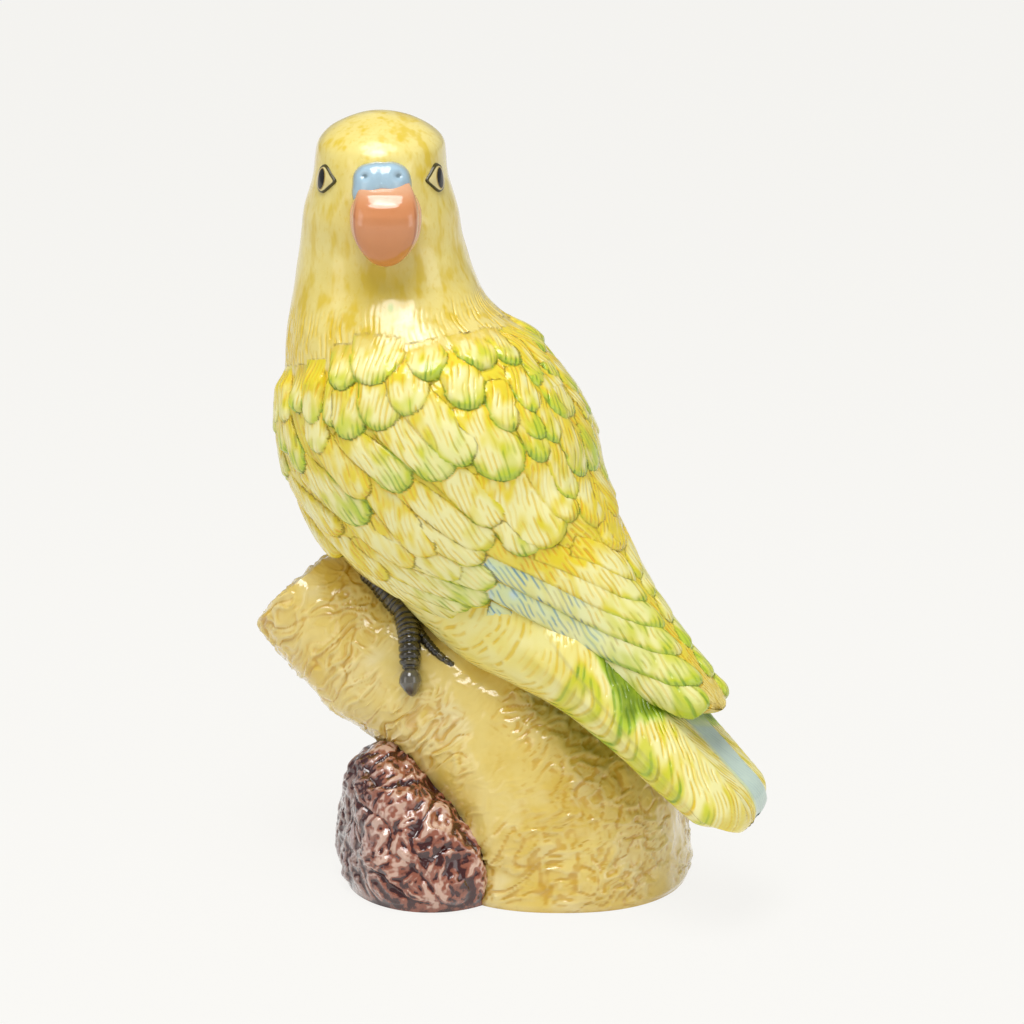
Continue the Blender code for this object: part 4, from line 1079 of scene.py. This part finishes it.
def build_eye(name, side):
    """A domed almond on one side of the head, with its own ruler for the brush work."""
    heights = HEAD_ROWS[:, 2]
    share_at = float(np.interp(-EYE_HEIGHT, -heights, HEAD_TRIES))
    bearing = -EYE_BEARINGS[0] if side > 0 else EYE_BEARINGS[1] - 180
    turn = np.linspace(0, 2 * math.pi, 97)[:-1]
    share = np.linspace(0.02, 1, 40)[:, None]
    point = np.abs(np.cos(turn)) ** 5 * 0.28 * (np.cos(turn) > 0)
    across = share * EYE_HALF_WIDTH * (np.cos(turn) * (1 + point))
    up = share * EYE_HALF_HEIGHT * np.sin(turn) * (1 - 0.45 * np.clip(np.cos(turn), 0, 1) ** 1.5)
    angles = bearing - side * across * math.degrees(1 / HEAD_RADIUS)
    shares = share_at - up / (heights[0] - heights[-1]) * HEAD_TRIES[-1]
    spots = loft(BODY, shares, angles)
    out = unit((spots - HEAD_AXIS) * [1, 1, 0])
    dome = 0.15 + 1.0 * np.sqrt(np.clip(1 - share ** 2, 0, 1)) - 0.5 * smooth_step(share, 0.9, 1.0)
    points = spots + out * dome[..., None]
    ruler = np.stack([across, up, share * np.ones_like(across)], axis=-1)
    return add_piece(name, points, facing_away(points, out), {"ruler": ruler})


eyes = [build_eye("right_eye", -1), build_eye("left_eye", 1)]

# %% [markdown]
# ## Shader helpers
# A glaze is painted in code as a tree of nodes. Short helpers keep those trees readable:
# one adds a node and feeds it, one mixes two colours, one makes a soft step, and three do
# sums. A last one scatters soft spots of a given size over the piece.

# %% Node helpers
def put(tree, kind, feeds=None, **settings):
    """Adds a node, with its settings, and feeds its inputs with values or outputs."""
    made = tree.nodes.new(kind)
    for name, value in settings.items():
        setattr(made, name, value)
    for key, value in (feeds or {}).items():
        if isinstance(value, bpy.types.NodeSocket):
            tree.links.new(value, made.inputs[key])
        else:
            made.inputs[key].default_value = value
    return made


def mixed(tree, share, first, second):
    feeds = {0: share, 6: first, 7: second}
    return put(tree, "ShaderNodeMix", feeds, data_type="RGBA").outputs[2]


def soft(tree, value, low, high, start=0.0, end=1.0):
    feeds = {"Value": value, "From Min": low, "From Max": high, "To Min": start, "To Max": end}
    return put(tree, "ShaderNodeMapRange", feeds, interpolation_type="SMOOTHSTEP").outputs[0]


def calc(tree, operation, *values):
    return put(tree, "ShaderNodeMath", dict(enumerate(values)), operation=operation).outputs[0]


def times(tree, first, second):
    return calc(tree, "MULTIPLY", first, second)


def plus(tree, first, second):
    return calc(tree, "ADD", first, second)


def minus(tree, first, second):
    return calc(tree, "SUBTRACT", first, second)


def speckle(tree, size, detail=2.0, stretch=(1, 1, 1), shift=0.0):
    """Noise from 0 to 1 in the object's own space, with spots of a size in millimetres."""
    coords = put(tree, "ShaderNodeTexCoord").outputs["Object"]
    scaled = put(tree, "ShaderNodeMapping", {"Vector": coords, "Scale": stretch, "Location": (shift,) * 3})
    feeds = {"Vector": scaled.outputs[0], "Scale": 1 / (size * MM), "Detail": detail, "Roughness": 0.55}
    return put(tree, "ShaderNodeTexNoise", feeds).outputs[0]


# %% Node groups
FLOAT = "NodeSocketFloat"
COLOUR = "NodeSocketColor"
VECTOR = "NodeSocketVector"
WHITE = (1, 1, 1, 1)


def new_group(name, inputs, outputs):
    """A shader node group with named inputs, given as (label, socket kind, value)."""
    group = bpy.data.node_groups.new(name, "ShaderNodeTree")
    for label, kind, value in inputs:
        group.interface.new_socket(name=label, in_out="INPUT", socket_type=kind).default_value = value
    for label, kind in outputs:
        group.interface.new_socket(name=label, in_out="OUTPUT", socket_type=kind)
    return group, group.nodes.new("NodeGroupInput").outputs, group.nodes.new("NodeGroupOutput").inputs


def use(tree, group, feeds):
    """Places a group in a material and gives back its outputs."""
    return put(tree, "ShaderNodeGroup", feeds, node_tree=group).outputs


print("node helpers ready")

# %% [markdown]
# ## Effects for the glazes
# Each effect is a node group, built once and placed in the glazes with their own values.
# - Pooled glaze: a coloured glaze runs into creases and darkens there. On the tail it also
#   lays the painted shadow under the wing's tip.
# - Pressed lines: the barbs that a tool cut, drawn from their running number.
# - Brushed colour: thin washes laid on by hand, uneven and in short strokes.
# - Glaze surface: the fired glaze ripples a little and has a few pinholes.

# %% Pooled glaze
POOLED, given, result = new_group("Pooled glaze", [
    ("Glaze", COLOUR, WHITE), ("Pooled colour", COLOUR, WHITE), ("Depth", FLOAT, 0.0),
    ("Strength", FLOAT, 1.0),
], [("Colour", COLOUR)])
unevenness = soft(POOLED, speckle(POOLED, 5.0), 0.25, 0.70, 0.55, 1.0)
deep = times(POOLED, soft(POOLED, given["Depth"], 0.10, 0.85), given["Strength"])
deep = times(POOLED, deep, unevenness)
POOLED.links.new(mixed(POOLED, deep, given["Glaze"], given["Pooled colour"]), result["Colour"])
print(POOLED.name, len(POOLED.nodes), "nodes")

# %% Pressed lines
LINES, given, result = new_group("Pressed lines", [
    ("Number", FLOAT, 0.0), ("Press", FLOAT, 0.0), ("Width", FLOAT, 0.30),
], [("Mask", FLOAT)])
offset = calc(LINES, "ABSOLUTE", minus(LINES, calc(LINES, "FRACT", given["Number"]), 0.5))
profile = calc(LINES, "DIVIDE", minus(LINES, given["Width"], offset), given["Width"])
LINES.links.new(times(LINES, soft(LINES, profile, 0.0, 0.8), given["Press"]), result["Mask"])
print(LINES.name, len(LINES.nodes), "nodes")

# %% Brushed colour
BRUSHED, given, result = new_group("Brushed colour", [
    ("Ground", COLOUR, WHITE), ("Wash", COLOUR, WHITE), ("Amount", FLOAT, 0.5), ("Strokes", FLOAT, 0.5),
], [("Colour", COLOUR)])
cloud = soft(BRUSHED, speckle(BRUSHED, 14.0, 3.0), 0.38, 0.66)
stroke = soft(BRUSHED, speckle(BRUSHED, 4.2, 2.0, (1, 1, 0.40), 3.0), 0.46, 0.68)
fine = soft(BRUSHED, speckle(BRUSHED, 1.2, 2.0, (1, 1, 0.5), 7.0), 0.5, 0.75)
washed = times(BRUSHED, plus(BRUSHED, times(BRUSHED, cloud, 0.8), 0.2), given["Amount"])
strongest = calc(BRUSHED, "MAXIMUM", stroke, times(BRUSHED, fine, 0.5))
stroked = times(BRUSHED, strongest, given["Strokes"])
cover = calc(BRUSHED, "MINIMUM", plus(BRUSHED, washed, stroked), 1.0)
BRUSHED.links.new(mixed(BRUSHED, cover, given["Ground"], given["Wash"]), result["Colour"])
print(BRUSHED.name, len(BRUSHED.nodes), "nodes")

# %% Glaze surface
SURFACE, given, result = new_group("Glaze surface", [
    ("Ripple", FLOAT, 0.15), ("Relief", FLOAT, 0.0), ("Relief depth", FLOAT, 0.2),
], [("Normal", VECTOR), ("Roughness", FLOAT)])
ripple = times(SURFACE, speckle(SURFACE, 6.0, 1.0), given["Ripple"])
pits = soft(SURFACE, speckle(SURFACE, 0.9, 1.0), 0.22, 0.30, -0.04, 0.0)
cuts = times(SURFACE, given["Relief"], given["Relief depth"])
level = minus(SURFACE, plus(SURFACE, ripple, pits), cuts)
bump = put(SURFACE, "ShaderNodeBump", {"Height": level, "Distance": MM, "Strength": 1.0})
SURFACE.links.new(bump.outputs[0], result["Normal"])
SURFACE.links.new(soft(SURFACE, speckle(SURFACE, 8.0), 0.3, 0.7, 0.10, 0.19), result["Roughness"])
print(SURFACE.name, len(SURFACE.nodes), "nodes")

# %% [markdown]
# ## The glazes
# Every glaze is one Principled shader with a clear coat. Its colour is built up as the
# painter works: a pale ground, thin washes, then the darker glaze that ran into the cuts.

# %% A glaze to start from
def new_glaze(name, coat=0.7, coat_roughness=0.09, ior=1.5):
    """A material, its tree and its shader, which is as glossy as fired glaze."""
    material = bpy.data.materials.new(name)
    material.use_nodes = True
    shader = material.node_tree.nodes["Principled BSDF"]
    shader.inputs["Coat Weight"].default_value = coat
    shader.inputs["Coat Roughness"].default_value = coat_roughness
    shader.inputs["IOR"].default_value = ior
    return material, material.node_tree, shader


def read(tree, label):
    """A painter's mask from the mesh: its four channels."""
    node = put(tree, "ShaderNodeAttribute", attribute_name=label)
    split = put(tree, "ShaderNodeSeparateColor", {0: node.outputs["Color"]})
    return [split.outputs[0], split.outputs[1], split.outputs[2], node.outputs["Alpha"]]


def read_three(tree, label):
    """Three numbers from the mesh, such as the barbs or the eye's ruler."""
    node = put(tree, "ShaderNodeAttribute", attribute_name=label)
    return put(tree, "ShaderNodeSeparateXYZ", {0: node.outputs["Vector"]}).outputs


def brushed(tree, ground, wash, amount, strokes):
    feeds = {"Ground": ground, "Wash": wash, "Amount": amount, "Strokes": strokes}
    return use(tree, BRUSHED, feeds)["Colour"]


def pooled_over(tree, glaze, colour, depth, strength):
    feeds = {"Glaze": glaze, "Pooled colour": colour, "Depth": depth, "Strength": strength}
    return use(tree, POOLED, feeds)["Colour"]


def finish_glaze(tree, shader, colour, ripple=0.15, relief=0.0, depth=0.2):
    surface = use(tree, SURFACE, {"Ripple": ripple, "Relief": relief, "Relief depth": depth})
    tree.links.new(colour, shader.inputs["Base Color"])
    tree.links.new(surface["Normal"], shader.inputs["Normal"])
    tree.links.new(surface["Roughness"], shader.inputs["Roughness"])
    print("a glaze of", len(tree.nodes), "nodes")


# %% [markdown]
# The bird wears one glaze. On bare skin it is a brushed yellow, and on the feathers a
# cream or yellow ground under lime and blue washes. The lines and the pools then take the
# colour of the wash they lie in: orange in yellow, leaf green in lime, and blue in blue.

# %% Plumage glaze
PALE = (0.92, 0.86, 0.38, 1)
YELLOW = (0.86, 0.68, 0.03, 1)
SKIN = (0.85, 0.72, 0.25, 1)
OCHRE = (0.74, 0.54, 0.05, 1)
YELLOW_LINE = (0.80, 0.54, 0.00, 1)
ORANGE_LINE = (0.84, 0.42, 0.00, 1)
ORANGE_POOL = (0.88, 0.58, 0.01, 1)
LIME = (0.50, 0.65, 0.04, 1)
LEAF = (0.18, 0.36, 0.01, 1)
LEAF_POOL = (0.32, 0.48, 0.01, 1)
DEEP_LEAF = (0.12, 0.21, 0.00, 1)
MINT = (0.64, 0.78, 0.46, 1)
PALE_BLUE = (0.54, 0.70, 0.72, 1)
BLUE_LINE = (0.10, 0.29, 0.44, 1)
plumage, tree, shader = new_glaze("plumage_glaze", coat=0.42, coat_roughness=0.20)
pool, green, blue, yellow = read(tree, "paint")
number, press, feathered = read_three(tree, "barbs")
# A low yellow mask gives PALE; on the neck patch and the feathers' cores that is partly a painted
# highlight.
skin = mixed(tree, soft(tree, yellow, 0.0, 0.45), PALE, SKIN)
skin = mixed(tree, soft(tree, yellow, 0.55, 1.0, 0.0, 0.8), skin, OCHRE)
skin = brushed(tree, skin, OCHRE, 0.35, 0.75)
vane = mixed(tree, soft(tree, yellow, 0.05, 0.95), PALE, YELLOW)
ground = mixed(tree, feathered, skin, vane)
washed = mixed(tree, soft(tree, green, 0.06, 0.80, 0.0, 0.95), ground, LIME)
washed = mixed(tree, blue, washed, mixed(tree, soft(tree, blue, 0.80, 0.95), MINT, PALE_BLUE))
line_mask = use(tree, LINES, {"Number": number, "Press": press, "Width": 0.32})["Mask"]
warm_line = mixed(tree, soft(tree, yellow, 0.40, 1.0), YELLOW_LINE, ORANGE_LINE)
line_colour = mixed(tree, soft(tree, green, 0.15, 0.50), warm_line, LEAF)
line_colour = mixed(tree, soft(tree, blue, 0.15, 0.50), line_colour, BLUE_LINE)
lined = mixed(tree, times(tree, line_mask, 0.95), washed, line_colour)
pool_colour = mixed(tree, soft(tree, green, 0.10, 0.35), ORANGE_POOL, LEAF_POOL)
pool_colour = mixed(tree, soft(tree, green, 0.55, 0.95), pool_colour, DEEP_LEAF)
# Strong green in the pool channel also comes from the painted shadow under the wing's tip.
colour = pooled_over(tree, lined, pool_colour, pool, 0.95)
finish_glaze(tree, shader, colour, 0.20, line_mask, 0.16)

# %% Bark glaze
HONEY = (0.86, 0.68, 0.22, 1)
HONEY_WASH = (0.76, 0.53, 0.08, 1)
PALE_BARK = (0.88, 0.76, 0.40, 1)
BARK_IN_TAIL_SHADE = (0.68, 0.44, 0.04, 1)
BARK_RIDGE = (0.88, 0.74, 0.36, 1)
BARK_CRACK = (0.60, 0.33, 0.03, 1)
BARK_POOL = (0.66, 0.38, 0.03, 1)
bark, tree, shader = new_glaze("bark_glaze")
pool, ridge, crack, wash = read(tree, "paint")
ground = brushed(tree, HONEY, HONEY_WASH, 0.75, 0.15)
pale = soft(tree, speckle(tree, 16.0, 2.0, shift=4.0), 0.50, 0.70, 0.0, 0.6)
ground = mixed(tree, pale, ground, PALE_BARK)
# Darker golden bark under the tail is painted shade.
ground = mixed(tree, times(tree, wash, 0.7), ground, BARK_IN_TAIL_SHADE)
raised = mixed(tree, soft(tree, ridge, 0.4, 1.0, 0.0, 0.3), ground, BARK_RIDGE)
cracked = mixed(tree, soft(tree, crack, 0.25, 0.85, 0.0, 0.7), raised, BARK_CRACK)
finish_glaze(tree, shader, pooled_over(tree, cracked, BARK_POOL, pool, 0.85), 0.3)

# %% [markdown]
# The rock's glaze is thin and pinkish on the bumps, brown on the slopes and almost black in
# the hollows. How low a point lies comes from the mesh, roughened with two sizes of noise.

# %% Rock glaze
ROCK_BUMP = (0.66, 0.43, 0.33, 1)
LILAC_BUMP = (0.42, 0.33, 0.33, 1)
ROCK_BROWN = (0.32, 0.10, 0.055, 1)
LILAC_BROWN = (0.27, 0.17, 0.14, 1)
ROCK_HOLLOW = (0.05, 0.003, 0.002, 1)
stone, tree, shader = new_glaze("rock_glaze", coat=1.0)
pool, lilac, _, _ = read(tree, "paint")
fine = times(tree, minus(tree, speckle(tree, 2.6, 4.0, shift=9.0), 0.5), 0.7)
broad = times(tree, minus(tree, speckle(tree, 9.0, 3.0, shift=5.0), 0.46), 1.8)
low = plus(tree, plus(tree, times(tree, pool, 0.8), fine), broad)
bump_colour = mixed(tree, lilac, ROCK_BUMP, LILAC_BUMP)
slope_colour = mixed(tree, lilac, ROCK_BROWN, LILAC_BROWN)
ground = mixed(tree, soft(tree, low, 0.10, 0.36), bump_colour, slope_colour)
finish_glaze(tree, shader, mixed(tree, soft(tree, low, 0.44, 0.62), ground, ROCK_HOLLOW), 0.5)

# %% Foot and claw glazes
toe_glaze, tree, shader = new_glaze("foot_glaze")
groove = read(tree, "paint")[0]
ground = brushed(tree, (0.13, 0.095, 0.018, 1), (0.03, 0.022, 0.007, 1), 0.8, 0.5)
colour = mixed(tree, soft(tree, groove, 0.15, 0.8), ground, (0.012, 0.010, 0.006, 1))
finish_glaze(tree, shader, colour, 0.2)

claw_glaze, tree, shader = new_glaze("claw_glaze", coat=1.0)
colour = brushed(tree, (0.13, 0.115, 0.085, 1), (0.02, 0.018, 0.014, 1), 0.7, 0.5)
finish_glaze(tree, shader, colour, 0.2)

# %% [markdown]
# The beak is salmon, paler at its top and on the lower half behind the seam, and the seam
# is a thin brown line. The cere is a dusty blue with a greyer rim and dark nostrils.

# %% Beak and cere glazes
SALMON = (0.66, 0.27, 0.11, 1)
SALMON_TIP = (0.64, 0.23, 0.05, 1)
SALMON_TOP = (0.76, 0.42, 0.24, 1)
SALMON_BEHIND = (0.74, 0.40, 0.21, 1)
SALMON_WASH = (0.62, 0.22, 0.07, 1)
BEAK_SEAM = (0.42, 0.13, 0.04, 1)
SEAM_AT = 0.40
beak_glaze, tree, shader = new_glaze("beak_glaze")
down, front, _, _ = read(tree, "paint")
ground = mixed(tree, soft(tree, down, 0.35, 0.95), SALMON, SALMON_TIP)
ground = mixed(tree, soft(tree, down, 0.0, 0.22), SALMON_TOP, ground)
behind = times(tree, soft(tree, front, 0.44, 0.30), soft(tree, down, 0.1, 0.3))
ground = mixed(tree, behind, ground, SALMON_BEHIND)
from_seam = calc(tree, "ABSOLUTE", minus(tree, front, SEAM_AT))
seam = soft(tree, minus(tree, 1.0, times(tree, from_seam, 9.0)), 0.0, 0.8, 0.0, 0.7)
ground = mixed(tree, times(tree, seam, soft(tree, down, 0.1, 0.35)), ground, BEAK_SEAM)
finish_glaze(tree, shader, brushed(tree, ground, SALMON_WASH, 0.35, 0.15), 0.1)

mandible_glaze, tree, shader = new_glaze("lower_mandible_glaze")
colour = brushed(tree, (0.82, 0.46, 0.24, 1), (0.74, 0.34, 0.14, 1), 0.4, 0.15)
finish_glaze(tree, shader, colour, 0.1)

cere_glaze, tree, shader = new_glaze("cere_glaze")
nostril, rim, _, _ = read(tree, "paint")
ground = brushed(tree, (0.42, 0.60, 0.71, 1), (0.28, 0.41, 0.49, 1), 0.5, 0.25)
ground = mixed(tree, soft(tree, rim, 0.80, 1.0, 0.0, 0.7), ground, (0.26, 0.33, 0.32, 1))
colour = mixed(tree, soft(tree, nostril, 0.35, 0.9, 0.0, 0.85), ground, (0.16, 0.24, 0.28, 1))
finish_glaze(tree, shader, colour, 0.1)

# %% [markdown]
# The eye is drawn with a brush on its lens: an upright oval iris and pupil, set back
# towards the bird's cheek, and a dark line round the rim.

# %% Eye glaze
EYE_CREAM = (0.80, 0.70, 0.36, 1)
EYE_SHADE = (0.66, 0.53, 0.18, 1)
IRIS = (0.40, 0.27, 0.06, 1)
PUPIL = (0.008, 0.007, 0.006, 1)
EYE_LINE = (0.06, 0.05, 0.010, 1)
eye_glaze, tree, shader = new_glaze("eye_glaze", coat=0.25, ior=1.35)
across, up, rim = read_three(tree, "ruler")


def oval(half_width, half_height, middle):
    """How far out of an upright oval a point of the eye lies, where 1 is its edge."""
    sideways = calc(tree, "DIVIDE", minus(tree, across, middle), half_width)
    upright = calc(tree, "DIVIDE", up, half_height)
    return calc(tree, "SQRT", plus(tree, times(tree, sideways, sideways), times(tree, upright, upright)))


ground = mixed(tree, speckle(tree, 2.0), EYE_CREAM, EYE_SHADE)
iris = mixed(tree, soft(tree, oval(2.3, 3.4, -0.7), 1.0, 0.9), ground, IRIS)
pupil = mixed(tree, soft(tree, oval(1.75, 3.0, -0.7), 1.06, 0.94), iris, PUPIL)
finish_glaze(tree, shader, mixed(tree, soft(tree, rim, 0.76, 0.83), pupil, EYE_LINE), 0.05)
print(len(bpy.data.materials), "materials")

# %% [markdown]
# ## Who wears what
# All pieces stand for the one solid and ride on its body.

# %% Dress the pieces
WEARS = [
    (plumage, plumage_pieces), (bark, [stump]), (stone, [rock]), (toe_glaze, toe_pieces),
    (claw_glaze, claw_pieces), (beak_glaze, [beak]), (mandible_glaze, [lower_mandible]),
    (cere_glaze, [cere]), (eye_glaze, eyes),
]
for glaze, pieces in WEARS:
    for piece in pieces:
        piece.data.materials.append(glaze)
        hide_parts(NODE)
        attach(piece, "root")
triangles = sum(len(piece.data.loops) - 2 * len(piece.data.polygons) for piece in SOLIDS)
print(len(SOLIDS), "pieces", triangles, "triangles")

# %% [markdown]
# ## Floor, light and camera
# The figure stands in a photographer's light tent: a pale floor, even light from all round,
# two oval softboxes above, whose reflections show on the crown, cere and beak, and an
# upright softbox at each side. The floor is seen by the camera at one plain pale colour,
# mixed with a little of its own shading, so that a soft shadow is left.

# %% Floor
bpy.ops.mesh.primitive_plane_add(size=12, location=(0, 1.5, 0))
floor = bpy.context.object
floor.name = "floor"
floor_paint = bpy.data.materials.new("floor_paint")
floor_paint.use_nodes = True
tree = floor_paint.node_tree
tree.nodes.clear()
FLOOR_SEEN = (0.955, 0.945, 0.915, 1)
FLOOR_PAINT = (0.88, 0.87, 0.85, 1)
shaded = put(tree, "ShaderNodeBsdfDiffuse", {"Color": FLOOR_PAINT})
plain = put(tree, "ShaderNodeEmission", {"Color": FLOOR_SEEN, "Strength": 1.0})
path = put(tree, "ShaderNodeLightPath")
seen = calc(tree, "MAXIMUM", path.outputs["Is Camera Ray"], path.outputs["Is Glossy Ray"])
blend = put(tree, "ShaderNodeMixShader", {
    0: times(tree, seen, 0.92), 1: shaded.outputs[0], 2: plain.outputs[0],
})
put(tree, "ShaderNodeOutputMaterial", {"Surface": blend.outputs[0]})
floor.data.materials.append(floor_paint)
print("the floor is", round(floor.dimensions[0], 1), "m wide")

# %% Light
world = bpy.data.worlds.new("light_tent")
bpy.context.scene.world = world
world.use_nodes = True
background = world.node_tree.nodes["Background"]
background.inputs["Color"].default_value = (0.96, 0.97, 1.0, 1)
background.inputs["Strength"].default_value = 0.36


def add_softbox(name, place, size, power, shape="RECTANGLE", aim=(0, 0, 0.13)):
    """A wide lamp at a place in metres, turned to a point."""
    lamp = bpy.data.lights.new(name, "AREA")
    lamp.shape = shape
    lamp.size, lamp.size_y = size
    lamp.energy = power
    made = bpy.data.objects.new(name, lamp)
    bpy.context.scene.collection.objects.link(made)
    made.location = place
    toward = np.array(aim) - np.array(place)
    flat = math.hypot(toward[0], toward[1])
    made.rotation_euler = (math.atan2(flat, -toward[2]), 0, math.atan2(-toward[0], toward[1]))
    return made


add_softbox("overhead_softbox", (-0.06, -0.12, 1.15), (0.60, 0.50), 4.4, "ELLIPSE")
add_softbox("front_softbox", (-0.10, -0.46, 1.06), (0.56, 0.50), 4.8, "ELLIPSE")
add_softbox("left_softbox", (-1.00, -0.70, 0.45), (0.50, 0.80), 1.6)
add_softbox("right_softbox", (1.00, -0.70, 0.40), (0.50, 0.80), 1.8)
print(len(bpy.data.lights), "softboxes")

# %% Camera
ELEVATION = 15.0
DISTANCE = 1200.0
AIM = np.array([-1.1, 0.0, 114.9])
SENSOR_WIDTH = 36.0
FOCAL_LENGTH = 137.1
camera = bpy.data.objects.new("camera", bpy.data.cameras.new("camera"))
bpy.context.scene.collection.objects.link(camera)
rise = math.radians(ELEVATION)
camera.location = (AIM + CENTRING + DISTANCE * np.array([0, -math.cos(rise), math.sin(rise)])) * MM
camera.rotation_euler = (math.radians(90 - ELEVATION), 0, 0)
camera.data.sensor_width = SENSOR_WIDTH
camera.data.lens = FOCAL_LENGTH
bpy.context.scene.camera = camera
bpy.context.scene.view_settings.view_transform = "Standard"
print("camera at", np.round(camera.location, 3), "m")
